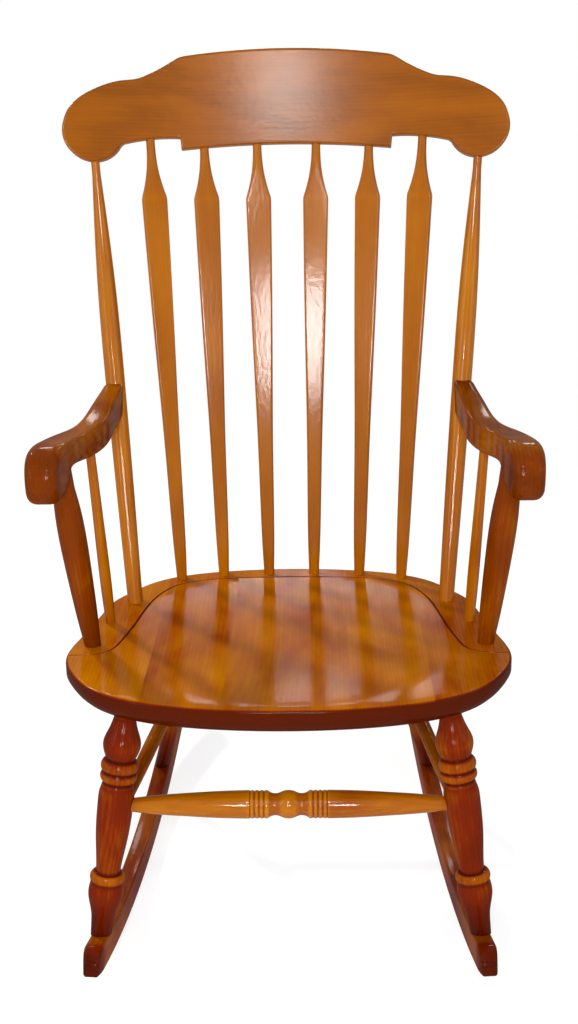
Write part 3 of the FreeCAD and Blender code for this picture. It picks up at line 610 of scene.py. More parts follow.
def quads(index):
    """Quads between the neighbours in a grid of point numbers."""
    corners = [index[:-1, :-1], index[:-1, 1:], index[1:, 1:], index[1:, :-1]]
    return np.stack(corners, axis=-1).reshape(-1, 4).tolist()


def tube_quads(rows, columns):
    """Quads of a grid of points that is held row by row and closed across its columns."""
    index = np.arange(rows * columns).reshape(rows, columns)
    return quads(np.hstack([index, index[:, :1]]))


def add_object(name, data):
    """An object at the origin, in the scene's collection."""
    item = bpy.data.objects.new(name, data)
    bpy.context.scene.collection.objects.link(item)
    return item


def make_piece(name, kind, points, faces, grain, stain_and_shade=0.0, tone_shift=0.0):
    """A closed, outward-facing piece on its body, with the wood's own coordinates at each point.

    grain holds metres across (x, y) and along (z) the growth of the wood, and the darkening is above zero
    where stain gathers and where shade is painted.
    """
    slot, part, tone = KINDS[kind]
    nodes = [name]
    mesh = bpy.data.meshes.new(name)
    mesh.from_pydata(np.asarray(points).tolist(), [], faces)
    count = len(mesh.vertices)
    for label, form, field, values in (("grain", "FLOAT_VECTOR", "vector", grain),
                                       ("tone", "FLOAT", "value", np.full(count, tone + tone_shift)),
                                       ("stain_and_shade", "FLOAT", "value", np.broadcast_to(stain_and_shade, count))):
        data = mesh.attributes.new(label, form, "POINT").data
        data.foreach_set(field, np.asarray(values, np.float32).ravel())
    shell = bmesh.new()
    shell.from_mesh(mesh)
    bmesh.ops.remove_doubles(shell, verts=shell.verts, dist=DOUBLES_WITHIN)
    bmesh.ops.dissolve_degenerate(shell, edges=shell.edges, dist=SLIVERS_WITHIN)
    bmesh.ops.recalc_face_normals(shell, faces=shell.faces)
    shell.to_mesh(mesh)
    shell.free()
    mesh.polygons.foreach_set("use_smooth", np.ones(len(mesh.polygons), bool))
    mesh.set_sharp_from_angle(angle=SHARP_ANGLE)
    mesh.materials.append(finish(part))
    piece = add_object(name, mesh)
    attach(piece, BODY)
    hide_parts(*nodes)


def seeded(name):
    """The same three numbers from 0 to 1 for a name on every run, from the codes of its letters."""
    code = sum((i + 1) * ord(letter) for i, letter in enumerate(name))
    return np.modf(np.sin(code * np.array([12.9898, 78.233, 37.719])) * 4375.85)[0] % 1.0


def wood_coordinates(name, across, depth, along):
    """Points in the wood, moved so that each piece is sawn from its own place in the tree.

    That place is 50 to 170 mm from the pith, up to 50 mm to either side, and within 3 m of trunk.
    """
    shift = seeded(name)
    return np.stack([across + 0.05 + 0.12 * shift[0], depth + 0.1 * shift[1] - 0.05,
                     along + 3.0 * shift[2]], axis=-1)


def joined(runs, count=40):
    """One profile from runs of (distance, radius), each drawn with the same count of points."""
    return np.vstack([run_through(run, count) for run in runs])


def thinned(profile, coarse, bend_limit):
    """A profile with points kept where it bends, and at coarse steps where it runs straight."""
    steps = np.diff(profile[:, :2], axis=0)
    heading = np.unwrap(np.arctan2(steps[:, 1], steps[:, 0]))
    turned = np.abs(np.diff(heading, prepend=heading[0]))
    travel = np.cumsum(np.linalg.norm(steps, axis=1))
    score = np.floor(np.cumsum(turned) / bend_limit) + np.floor(travel / coarse)
    keep = np.concatenate([[True], np.diff(score) > 0, [True, True]])[:len(profile)]
    keep[-1] = True
    return profile[keep]


def finished_profile(points, step, easing, coarse, bend_limit):
    """Distance, radius and darkening down a profile, at even steps and with its arrises just rounded.

    The darkening is how far a radius is below the mean of the radii near it: stain gathered in the grooves,
    and painted shade there. Points that aren't needed are then left out.
    """
    profile = eased(evenly(points, step), easing)
    around = int(round(RECESS_REACH / step))
    count = 2 * around + 1
    level = np.convolve(np.pad(profile[:, 1], around, mode="edge"), np.full(count, 1 / count), mode="valid")
    stain_and_shade = np.clip((level - profile[:, 1]) / RECESS_DEPTH, *RECESS_LIMITS)
    return thinned(np.column_stack([profile, stain_and_shade]), coarse, bend_limit)


def turned_axes(start, end, facing):
    """Columns are the side, back and length of a piece from start to end whose front looks to facing."""
    along = unit(end - start)
    back = -np.asarray(facing, float)
    back = unit(back - back.dot(along) * along)
    return np.stack([np.cross(back, along), back, along], axis=1)


def turned_piece(name, kind, start, end, profile, section, facing=FRONT, trim=None):
    """A piece swept along its axis: section gives the ring's x and y from each radius and angle.

    Its ends are flat. trim, if given, moves the finished points, such as to cut a foot to its rocker.
    """
    axes = turned_axes(start, end, facing)
    across, depth = section(profile[:, 1])
    along = np.broadcast_to(profile[:, :1], across.shape)
    points = np.stack([across, depth, along], axis=-1) @ axes.T + start
    if trim:
        points = trim(points, along, axes[:, 2])
    rows, columns = across.shape
    faces = tube_quads(rows, columns)
    faces += [list(range(columns)), list(range((rows - 1) * columns, rows * columns))]
    grain = wood_coordinates(name, across, depth, along).reshape(-1, 3)
    make_piece(name, kind, points.reshape(-1, 3), faces, grain, np.repeat(profile[:, 2], columns))


def round_section(columns=48):
    """Full circles: x and y are the radius times cosine and sine."""
    turn = np.linspace(0, 2 * math.pi, columns, endpoint=False)
    return lambda radius: (radius[:, None] * np.cos(turn), radius[:, None] * np.sin(turn))


def slab_section(thickness):
    """Circles flattened front and back to a thickness, with grid lines that follow the two arrises.

    The height is a soft minimum of the circle's and half the thickness, so the arris is just eased.
    """
    flat = np.sin(np.linspace(-1, 1, 19) * math.pi / 2)[:-1]
    curved = np.sin(np.linspace(-1, 1, 13) * math.pi / 2)[:-1]
    half = thickness / 2

    def section(radius):
        """x and y of the flattened circle for each radius."""
        edge = np.minimum(np.arcsin(np.minimum(1, half / radius)), LARGEST_EDGE)[:, None]
        lens = math.pi / 2 - edge
        turn = np.concatenate([curved * edge, math.pi / 2 + flat * lens, math.pi + curved * edge,
                               1.5 * math.pi + flat * lens], axis=1)
        height = radius[:, None] * np.sin(turn)
        size = np.abs(height)
        soft = -ARRIS_SOFTNESS * np.logaddexp(-size / ARRIS_SOFTNESS, -half / ARRIS_SOFTNESS)
        level = np.where(size < half / 2, size, np.maximum(soft, 0))
        return radius[:, None] * np.cos(turn), np.sign(height) * np.minimum(size, level)

    return section


def inset_loop(loop, inset):
    """A closed loop moved inwards along the mean of each point's two edge normals."""
    ahead = np.roll(loop, -1, axis=0) - loop
    size = np.linalg.norm(ahead, axis=1, keepdims=True)
    ahead = np.where(size > 1e-9, ahead / np.maximum(size, 1e-9), 0)
    along = ahead + np.roll(ahead, 1, axis=0)
    along /= np.maximum(np.linalg.norm(along, axis=1, keepdims=True), 1e-9)
    area = np.sum(loop[:, 0] * np.roll(loop[:, 1], -1) - loop[:, 1] * np.roll(loop[:, 0], -1))
    inwards = np.stack([-along[:, 1], along[:, 0]], axis=1) * math.copysign(1, area)
    return loop + inwards * np.reshape(inset, (-1, 1))


def eased_levels(radius, steps=5):
    """(inset, depth) from a face to an edge round a quarter circle, after one ring just inside the face."""
    turn = np.linspace(0, math.pi / 2, steps)
    levels = [(radius * (1 - math.sin(t)), radius * (1 - math.cos(t))) for t in turn]
    return [(radius * 1.2, 0.0)] + levels


def sawn_piece(name, kind, upper, lower, radii, at, rows, trim=None):
    """A sawn board from two chains of one outline that are paired point by point.

    Rings of the outline step inwards round both eased edges, by a radius for each face or for each of
    its points, and rows of points fill the faces. trim, if given, cuts a ring. at takes a ring, its
    depth from the nearer face and which face that is, and gives the places, the grain and the darkening.
    """
    loop = np.vstack([upper, lower[::-1]])
    count, pairs = len(loop), len(upper)
    edge = eased_levels(1.0, 7)
    rings = []
    for face, levels in enumerate((edge, edge[::-1])):
        radius = np.broadcast_to(radii[face], count)
        for inset, depth in levels:
            ring = inset_loop(loop, inset * radius)
            rings.append((trim(ring) if trim else ring, depth * radius, face))
    total = len(rings)
    faces = tube_quads(total, count)
    for face, first in ((0, 0), (1, total - 1)):
        ring = rings[first][0]
        down = np.linspace(0, 1, rows + 2)[1:-1, None, None]
        between = ring[:pairs] * (1 - down) + ring[pairs:][::-1] * down
        inner = (total * count + face * rows * pairs + np.arange(rows * pairs)).reshape(rows, pairs)
        start = first * count
        faces += quads(np.vstack([start + np.arange(pairs), inner, start + count - 1 - np.arange(pairs)]))
        rings.append((between.reshape(-1, 2), 0.0, face))
    points, grain, stain_and_shade = (np.concatenate(values) for values in zip(*(at(*ring) for ring in rings)))
    make_piece(name, kind, points, faces, grain, stain_and_shade)


def end_stain_and_shade(colours, away):
    """The darkening near the cut ends, from the distance to an end: stain that the end grain drinks, and
    painted shade.
    """
    return colours.end_stain_and_shade * np.clip(1 - away / colours.end_reach, 0, 1)


# Pieces


def build_seat(layout):
    """Five boards, each a row of closed loops across its width: rear edge, top, front edge and underside.

    Top = -dish inside the groove, where dish = depth x (1 - (r / reach)^2), and a scribed groove.
    """
    seat = layout.seat
    joints = np.array(BOARD_JOINT_SHARES) * seat.half_width
    left_shares = [(-x, y) for x, y in SEAT_OUTLINE_SHARES[-2:0:-1]]
    outline = spline_through(sized(SEAT_OUTLINE_SHARES + left_shares, seat.half_width, seat.depth),
                             4001, closed=True)[:-1]
    groove = spline_through(sized(GROOVE_SHARES, seat.half_width, seat.depth), 2000)
    for line in (outline, groove):
        line[:, 1] -= seat.front_reach
    heading = np.gradient(groove, axis=0)
    heading /= np.linalg.norm(heading, axis=1, keepdims=True)
    towards_front = np.stack([-heading[:, 1], heading[:, 0]], axis=1)

    round_levels = eased_levels(seat.edge_round)[1:]
    lower = seat.edge_round + seat.edge_band
    belly = spline_through(sized(UNDERSIDE_SHARES, seat.underside_inset, seat.thickness - lower), 9)
    levels = round_levels + [(0.0, (seat.edge_round + lower) / 2)]
    levels += [(inset, lower + drop) for inset, drop in belly.tolist()]

    def edges_at(inset, stations, low, high, tip):
        """x, front y and rear y of the outline drawn in by an inset, across one board."""
        loop = inset_loop(outline, inset)
        right = loop[loop[:, 0] >= -1e-4]
        widest = np.argmax(right[:, 0])
        if tip:
            x = low + (right[widest, 0] - low) * np.sin(stations * math.pi / 2)
        else:
            x = low + (high - low) * stations
        front = np.interp(np.abs(x), right[:widest + 1, 0], right[:widest + 1, 1])
        rear = np.interp(np.abs(x), right[widest:, 0][::-1], right[widest:, 1][::-1])
        return x, front, rear

    # The groove's rows: their distance from its middle towards the front, and their share of its depth
    half_groove = seat.groove_width / 2
    lip = [(half_groove + GROOVE_LIP, 0.0), (half_groove, 0.25), (half_groove - GROOVE_LIP, 1.0)]
    groove_rows = lip + [(0.0, 1.0)] + [(-away, share_down) for away, share_down in lip[::-1]]
    front_rows = np.linspace(0, 1, 34)[:-1]
    rear_rows = np.linspace(0, 1, 10)[1:]

    for number, (low, high) in enumerate(zip(joints[:-1], joints[1:]), 1):
        tip = number in (1, len(joints) - 1)
        mirror = 1
        if number == 1:
            low, high, mirror = -high, -low, -1
        stations = np.linspace(0, 1, 36 if tip else 30)
        rings = [edges_at(inset, stations, low, high, tip) for inset, _ in levels]
        x, front, rear = rings[0]
        lines, deep = [], []
        for away, share_down in groove_rows:
            moved = (groove + towards_front * away)[::-1]
            line = np.clip(np.interp(np.abs(x), moved[:, 0], moved[:, 1]), front, rear)
            lines.append(line)
            deep.append(np.where((line > front) & (line < rear), share_down, 0))
        top_y = np.array([front + (lines[0] - front) * row for row in front_rows] + lines
                         + [lines[-1] + (rear - lines[-1]) * row for row in rear_rows]).T
        cut = np.zeros_like(top_y)
        cut[:, len(front_rows):len(front_rows) + len(deep)] = np.array(deep).T
        inside = np.arange(top_y.shape[1]) < len(front_rows) + 2
        wide = np.broadcast_to(x[:, None], top_y.shape)
        away = np.hypot(wide, top_y + seat.dish_ahead) / seat.dish_reach
        dish = seat.dish_depth * np.clip(1 - away ** 2, 0, None) * inside
        top = np.stack([wide, top_y, -np.maximum(dish, seat.groove_depth * cut)], axis=-1)[:, ::-1]
        front_edge, rear_edge = (
            np.stack([np.stack([ring[0], ring[which], np.full(len(x), -depth)], axis=-1)
                      for ring, (_, depth) in zip(rings, levels)], axis=1) for which in (1, 2))
        across = np.linspace(0, 1, 8)[1:-1][:, None]
        underside = front_edge[:, -1:] * (1 - across) + rear_edge[:, -1:] * across
        loops = np.concatenate([rear_edge[:, :0:-1], top, front_edge[:, 1:], underside], axis=1)
        loops[..., 0] *= mirror
        rows, columns = loops.shape[:2]
        faces = tube_quads(rows, columns) + [list(range(columns))]
        if not tip:
            faces.append(list(range((rows - 1) * columns, rows * columns)))

        # The edge and the underside are darkened most, less round the top's edge, and the groove some:
        # partly stain in the end grain and the groove, partly painted shade
        stain_and_shade = np.full((rows, columns), seat.edge_stain_and_shade)
        start = len(levels) - 1
        end = start + top.shape[1] - 1
        stain_and_shade[:, start:end + 1] = cut[:, ::-1] * GROOVE_STAIN_AND_SHADE
        fading = np.linspace(seat.edge_stain_and_shade, 0, len(round_levels))
        stain_and_shade[:, start - len(fading) + 1:start + 1] = fading
        stain_and_shade[:, end:end + len(fading)] = fading[::-1]
        name = "seat_board_%d" % number
        local = loops.reshape(-1, 3)
        grain = wood_coordinates(name, local[:, 0], local[:, 2], local[:, 1])
        make_piece(name, "seat_board", layout.on_seat(local), faces, grain, stain_and_shade.ravel(),
                   (seeded(name + "tone")[0] - 0.5) * BOARD_TONE_SPREAD)


def rounded_corner(at, first_heading, second_heading, radius):
    """Arc of a radius that turns between two headings at a corner."""
    half = math.acos(np.clip(np.dot(first_heading, second_heading), -1, 1)) / 2
    back = radius * math.tan(half)
    bulge = unit(second_heading - first_heading)
    middle = at + bulge * (radius / math.cos(half) - radius)
    return arc_through([at - first_heading * back, middle, at + second_heading * back], 12)


def build_rockers(layout):
    """Each rocker is a sawn arc: two circles about one centre, joined by tips with rounded corners."""
    base = layout.base
    outer, inner = base.rocker_radius, base.rocker_radius - base.rocker_height

    def height(radius, along):
        """Height of a circle about the rocker's centre: the outer radius less the square root."""
        return outer - np.sqrt(radius ** 2 - along ** 2)

    def arc_between(radius, first, last):
        """Points of a circle between two corners."""
        along = np.linspace(first[0], last[0], 110)[1:-1]
        return np.stack([along, height(radius, along)], axis=1)

    front = -base.front_tip_ahead / math.cos(layout.toe_in)
    rear = base.rear_tip_behind / math.cos(layout.toe_in)
    corners = []
    for tip, way in ((front, -1), (rear, 1)):
        low = np.array([tip, height(outer, tip)])
        high = np.array([tip * inner / outer, height(inner, tip * inner / outer)])
        rise = unit(high - low)
        top_in = unit((-way * math.sqrt(inner ** 2 - high[0] ** 2), -abs(high[0])))
        low_out = unit((way * math.sqrt(outer ** 2 - low[0] ** 2), abs(low[0])))
        corners.append((rounded_corner(high, rise, top_in, base.tip_round),
                        rounded_corner(low, low_out, rise, base.heel_round)))
    (top_front, low_front), (top_rear, low_rear) = corners
    upper = np.vstack([top_front, arc_between(inner, top_front[-1], top_rear[-1]), top_rear[::-1]])
    lower = np.vstack([low_front[::-1], arc_between(outer, low_front[0], low_rear[0]), low_rear])
    tips = outer * math.asin(front / outer), outer * math.asin(rear / outer)

    for side_name, side in SIDES:
        name = side_name + "_rocker"

        def at(ring, depth, face, name=name, place=layout.rocker_place(side)):
            """Along the arc and across the thickness, drawn in towards both tips as a half oval."""
            along = outer * np.arctan2(ring[:, 0], outer - ring[:, 1])
            from_tip = np.minimum(along - tips[0], tips[1] - along)
            left = 1 - np.clip(from_tip / base.nose_reach, 0, 1)
            width = base.nose_share + (1 - base.nose_share) * np.sqrt(1 - left ** 2)
            x = (base.rocker_thickness / 2 - depth) * width * (1 if face else -1)
            deep = outer - np.hypot(ring[:, 0], outer - ring[:, 1])
            # The tips are darkened: partly end-grain stain, partly painted shade
            return (place(np.stack([x, ring[:, 0], ring[:, 1]], axis=1)),
                    wood_coordinates(name, deep, x, along), end_stain_and_shade(layout.colours, from_tip))

        sawn_piece(name, "rocker", upper, lower, (base.edge_easing, base.edge_easing), at, 2)


def build_legs(layout):
    """Lathe profiles from the seat to the rockers, with each foot slid along its axis onto its rocker."""
    base = layout.base
    for end, shares, diameter in (("front", FRONT_LEG_SHARES, base.front_leg_diameter),
                                  ("rear", REAR_LEG_SHARES, base.rear_leg_diameter)):
        for side_name, side in SIDES:
            top, foot = layout.leg_line(end, side)
            span = np.linalg.norm(foot - top)
            runs = [sized(run, span, diameter / 2) for run in shares]
            neck = runs[0][0][1]
            tenon = [(-layout.back.socket_depth * TENON_SHARE, neck), (0, neck)]
            profile = finished_profile(joined([tenon] + runs), 0.0008, 2, 0.004, 0.03)
            # Painted shade darkens each leg towards its foot
            profile[:, 2] += end_stain_and_shade(layout.colours, (span - profile[:, 0]) * FOOT_SHADE_SHARE)

            def trim(points, distance, along, place=layout.rocker_place(side), span=span):
                """Moves the foot's rings along the axis, the last ring just into the rocker's top."""
                cut = points[-1].copy()
                for _ in range(4):
                    on_rocker = (cut - place.origin) @ place.turn
                    gap = layout.rocker_top(on_rocker[:, 1]) - FOOT_BITE - cut[:, 2]
                    cut = cut + along * (gap / along[2])[:, None]
                slide = (cut - points[-1]) @ along
                weight = np.clip(1 - (span - distance) / FOOT_REACH, 0, 1) ** 2
                return points + along * (weight * slide[None, :])[..., None]

            turned_piece("%s_%s_leg" % (end, side_name), end + "_leg", top, foot, profile,
                         round_section(56), trim=trim)


def front_stretcher_profile(base, span):
    """Taper, rings, cove and middle bead, the same from either end."""
    radius = base.front_stretcher_diameter / 2
    groove = radius - base.ring_relief
    rings_end = base.ring_start + base.ring_width * base.ring_count
    swelling = sized(FRONT_STRETCHER_SHARES, span / 2 - rings_end - base.stretcher_tenon, radius)
    swelling[:, 0] = span / 2 - base.stretcher_tenon - swelling[:, 0]
    half = [[(span / 2, swelling[0, 1]), tuple(swelling[0])], swelling]
    for ring in range(base.ring_count):
        outer = rings_end - ring * base.ring_width
        half.append([(outer, groove), (outer - base.ring_width / 2, radius),
                     (outer - base.ring_width, groove)])
    bead = radius - base.bead_shoulder
    cove = (base.ring_start + base.bead_half) / 2
    half.append([(base.ring_start, groove), (cove, radius - base.cove_depth), (base.bead_half, bead)])
    half.append([(base.bead_half, bead), (0, radius), (-base.bead_half, bead)])
    near = joined(half, 24)
    far = near[near[:, 0] > base.bead_half] * (-1, 1)
    whole = np.vstack([near, far[::-1]])
    whole[:, 0] = span / 2 - whole[:, 0]
    return finished_profile(whole, 0.0004, 2, 0.006, 0.05)


def plain_stretcher_profile(base, span, diameter, scribed):
    """A stretcher that swells to its middle, with a scribed line there on the side stretchers."""
    swelling = sized(PLAIN_STRETCHER_SHARES, span / 2 - base.stretcher_tenon, diameter / 2)
    swelling[:, 0] += base.stretcher_tenon
    near = np.vstack([[(0, swelling[0, 1])], run_through(swelling, 60)])
    far = near[::-1] * (-1, 1) + (span, 0)
    if scribed:
        flank, middle = base.scribe_width / 2, span / 2
        line = [(middle - flank, diameter / 2), (middle, diameter / 2 - base.scribe_depth)]
        near = np.vstack([near[near[:, 0] < middle - flank], line])
        far = np.vstack([[(middle + flank, diameter / 2)], far[far[:, 0] > middle + flank]])
    return finished_profile(np.vstack([near, far]), 0.0004, 1, 0.008, 0.06)


def build_stretchers(layout):
    """Front, rear and side stretchers, whose ends stop short of the axes of their legs."""
    base = layout.base
    rows = [("front_stretcher", "front left", base.front_stretcher_share, "front right",
             base.front_stretcher_share, None),
            ("rear_stretcher", "rear left", base.rear_stretcher_share, "rear right",
             base.rear_stretcher_share, base.rear_stretcher_diameter)]
    rows += [(name + "_side_stretcher", "front " + name, base.side_front_share, "rear " + name,
              base.side_rear_share, base.side_stretcher_diameter) for name, _ in SIDES]
    legs = {end + " " + name: layout.leg_line(end, side)
            for end in ("front", "rear") for name, side in SIDES}
    for name, first, first_share, second, second_share, diameter in rows:
        start, end = (legs[leg][0] + (legs[leg][1] - legs[leg][0]) * along
                      for leg, along in ((first, first_share), (second, second_share)))
        stop = unit(end - start) * base.stretcher_stop
        start, end = start + stop, end - stop
        span = np.linalg.norm(end - start)
        if diameter is None:
            kind, profile = name, front_stretcher_profile(base, span)
        else:
            kind = "plain_stretcher"
            profile = plain_stretcher_profile(base, span, diameter, "side" in name)
        turned_piece(name, kind, start, end, profile, round_section(44), STRETCHER_FACING)


def spindle(name, kind, start, end, shares, diameter, tenons, section, facing=FRONT, easing=2):
    """A turned piece with straight tenons that stand in its two sockets."""
    span = np.linalg.norm(end - start)
    runs = [sized(run, span, diameter / 2) for run in shares]
    first, last = runs[0][0][1], runs[-1][-1][1]
    runs = [[(-tenons[0], first), (0, first)]] + runs + [[(span, last), (span + tenons[1], last)]]
    profile = finished_profile(joined(runs), 0.001, easing, 0.008, 0.03)
    turned_piece(name, kind, start, end, profile, section, facing)


def build_back(layout):
    """Two turned posts, and six slats whose blades are turned and then planed flat front and back."""
    back, seat = layout.back, layout.seat
    tenons = (back.socket_depth * TENON_SHARE,) * 2
    for name, side in SIDES:
        foot, top = layout.post_line(side)
        spindle(name + "_back_post", "back_post", foot, top, BACK_POST_SHARES, back.post_diameter,
                tenons, round_section())
    for number, (side, i) in enumerate([(-1, 2), (-1, 1), (-1, 0), (1, 0), (1, 1), (1, 2)], 1):
        out = side * SLAT_RAIL_OUT_SHARES[i] * back.rail_half_width
        foot = layout.on_seat((side * SLAT_SEAT_OUT_SHARES[i] * seat.half_width,
                               SLAT_SEAT_BEHIND_SHARES[i] * back.slat_seat_reach, 0))
        spindle("arrow_slat_%d" % number, "slat", foot, layout.rail_point(out, 0), ARROW_SLAT_SHARES,
                back.slat_width, tenons, slab_section(back.slat_thickness), layout.rail_facing(out), 5)


def build_crest_rail(layout):
    """A bent sawn board: depth s and outline (x, z) go to y = sqrt((radius + s)^2 - x^2) - radius."""
    back = layout.back
    size = back.rail_half_width, back.rail_height
    right = [run_through(sized(run, *size), 120) for run in RAIL_RIGHT_SHARES]
    top, block = (run_through(sized(run, *size), 240) for run in (RAIL_TOP_SHARES, RAIL_BLOCK_SHARES))
    shoulder = eased(evenly(np.vstack([top[top[:, 0] >= 0]] + right[:2]), 0.001), 12)
    edge = np.vstack([shoulder] + right[2:] + [block[block[:, 0] >= 0]])
    widest = np.argmax(edge[:, 0])
    reach = edge[widest, 0]
    step_out, step_in = (point[0] * back.rail_half_width for point in RAIL_RIGHT_SHARES[-1])
    outer = reach * np.sin(np.linspace(math.asin(step_out / reach), math.pi / 2, 60))
    half = np.concatenate([np.linspace(0, step_in, 36), outer])
    x = np.concatenate([-half[:0:-1], half])
    upper, lower = (np.stack([x, np.interp(np.abs(x), line[:, 0], line[:, 1])], axis=1)
                    for line in (edge[:widest + 1], edge[widest:][::-1]))

    def at(ring, depth, face):
        """Bent about the rail's radius, with the wood's growth along its width."""
        through = np.broadcast_to(back.rail_thickness - depth if face else depth, len(ring))
        y = np.sqrt((back.rail_radius + through) ** 2 - ring[:, 0] ** 2) - back.rail_radius
        return (layout.on_rail(np.stack([ring[:, 0], y, ring[:, 1]], axis=1)),
                wood_coordinates("crest_rail", ring[:, 1], through, ring[:, 0]), np.zeros(len(ring)))

    sawn_piece("crest_rail", "crest_rail", upper, lower, (back.rail_easing, back.rail_easing), at, 9)


def build_arms(layout):
    """Sawn arms with a scrolled knuckle: a side outline whose width is the plan's at each length."""
    arms = layout.arms
    plan = np.array(sorted(ARM_PLAN_SHARES))
    marks = sized(ARM_PROFILE_SHARES, arms.length, arms.knuckle_height)
    profile = spline_through(marks, 4000)
    top_neck, tip, low_neck = (int(np.argmin(np.linalg.norm(profile - marks[mark], axis=1)))
                               for mark in ARM_MARKS)

    def stretch(first, last, count):
        """Evenly spaced points from one place on the side outline to another."""
        piece = profile[first:last + 1] if first < last else profile[last:first + 1][::-1]
        return evenly(piece, np.linalg.norm(np.diff(piece, axis=0), axis=1).sum() / (count - 1))

    upper = np.vstack([stretch(0, top_neck, 50), stretch(top_neck, tip, 60)[1:]])
    lower = np.vstack([stretch(len(profile) - 1, low_neck, 50), stretch(low_neck, tip, 60)[1:]])
    end = arms.length - layout.back.post_diameter * arms.cope_share
    along = np.concatenate([upper[:, 0], lower[::-1, 0]])
    blend = np.clip((arms.knuckle_start - along) / (arms.knuckle_start - arms.knuckle_full), 0, 1)
    blend = blend ** 2 * (3 - 2 * blend)
    radii = [radius + (arms.knuckle_round - radius) * blend
             for radius in (arms.inner_round, arms.outer_round)]

    def butt(ring):
        """Cuts a ring square where the arm meets its back post."""
        chains = []
        for chain in (ring[:len(upper)], ring[len(upper):][::-1]):
            cut = end, np.interp(end, chain[::-1, 0][-40:], chain[::-1, 1][-40:])
            chains.append(np.where(chain[:, :1] > end, cut, chain))
        return np.vstack([chains[0], chains[1][::-1]])

    for side_name, side in SIDES:
        name = side_name + "_arm"
        rear_end = layout.arm_joint(side)[1]
        lines = spline_through(np.column_stack([
            plan[:, 0] * arms.length, layout.arm_middle(side, plan[:, 1]),
            plan[:, 2] * arms.width / 2]), 200)

        def at(ring, depth, face, name=name, side=side, rear_end=rear_end, lines=lines):
            """Half the plan's width either side of its middle, at each point of the side outline."""
            middle, half = (np.interp(ring[:, 0], lines[:, 0], lines[:, i]) for i in (1, 2))
            out = middle + (half - depth) * (1 if face else -1)
            points = np.stack([side * out, rear_end - arms.length + ring[:, 0],
                               layout.arm_height + ring[:, 1]], axis=1)
            return (points, wood_coordinates(name, out, ring[:, 1], ring[:, 0]),
                    end_stain_and_shade(layout.colours, ring[:, 0]) * ARM_STAIN_SHARE)

        sawn_piece(name, "arm", upper, lower, radii, at, 3, butt)
        tenons = (layout.back.socket_depth * TENON_SHARE, arms.socket_depth * ARM_TENON_SHARE)
        post_top = layout.arm_point(side, arms.post_along_share, arms.post_inside, arms.post_rise_share)
        spindle(name + "_post", "arm_post", layout.on_seat((side * arms.post_out, -arms.post_ahead, 0)),
                post_top, ARM_POST_SHARES, arms.post_diameter, tenons, round_section())
        spindle_top = layout.arm_point(side, arms.spindle_along_share, arms.spindle_inside,
                                       arms.spindle_rise_share)
        spindle(name + "_spindle", "arm_spindle",
                layout.on_seat((side * arms.spindle_out, arms.spindle_behind, 0)), spindle_top,
                ARM_SPINDLE_SHARES, arms.spindle_diameter, tenons, round_section(36))


# Materials


def linear(code, shade=1.0):
    """An sRGB hex colour as linear red, green, blue and alpha, darkened or lightened by a shade."""
    parts = [int(code[i:i + 2], 16) / 255 for i in (1, 3, 5)]
    parts = [p / 12.92 if p <= 0.04045 else ((p + 0.055) / 1.055) ** 2.4 for p in parts]
    return [min(1.0, p * shade) for p in parts] + [1.0]


def add_node(tree, kind, inputs=None, stops=(), **settings):
    """A node with its settings, its sockets set or linked, and any stops of its colour ramp."""
    node = tree.nodes.new(kind)
    for name, value in settings.items():
        setattr(node, name, value)
    for name, value in (inputs or {}).items():
        if isinstance(value, bpy.types.NodeSocket):
            tree.links.new(value, node.inputs[name])
        else:
            node.inputs[name].default_value = value
    for i, (place, colour) in enumerate(stops):
        if i > 1:
            node.color_ramp.elements.new(1.0)
        node.color_ramp.elements[i].position = place
        node.color_ramp.elements[i].color = colour
    return node


def blank_material(name):
    """A material with nothing in it, and its tree."""
    material = bpy.data.materials.new(name)
    material.use_nodes = True
    material.node_tree.nodes.clear()
    return material, material.node_tree


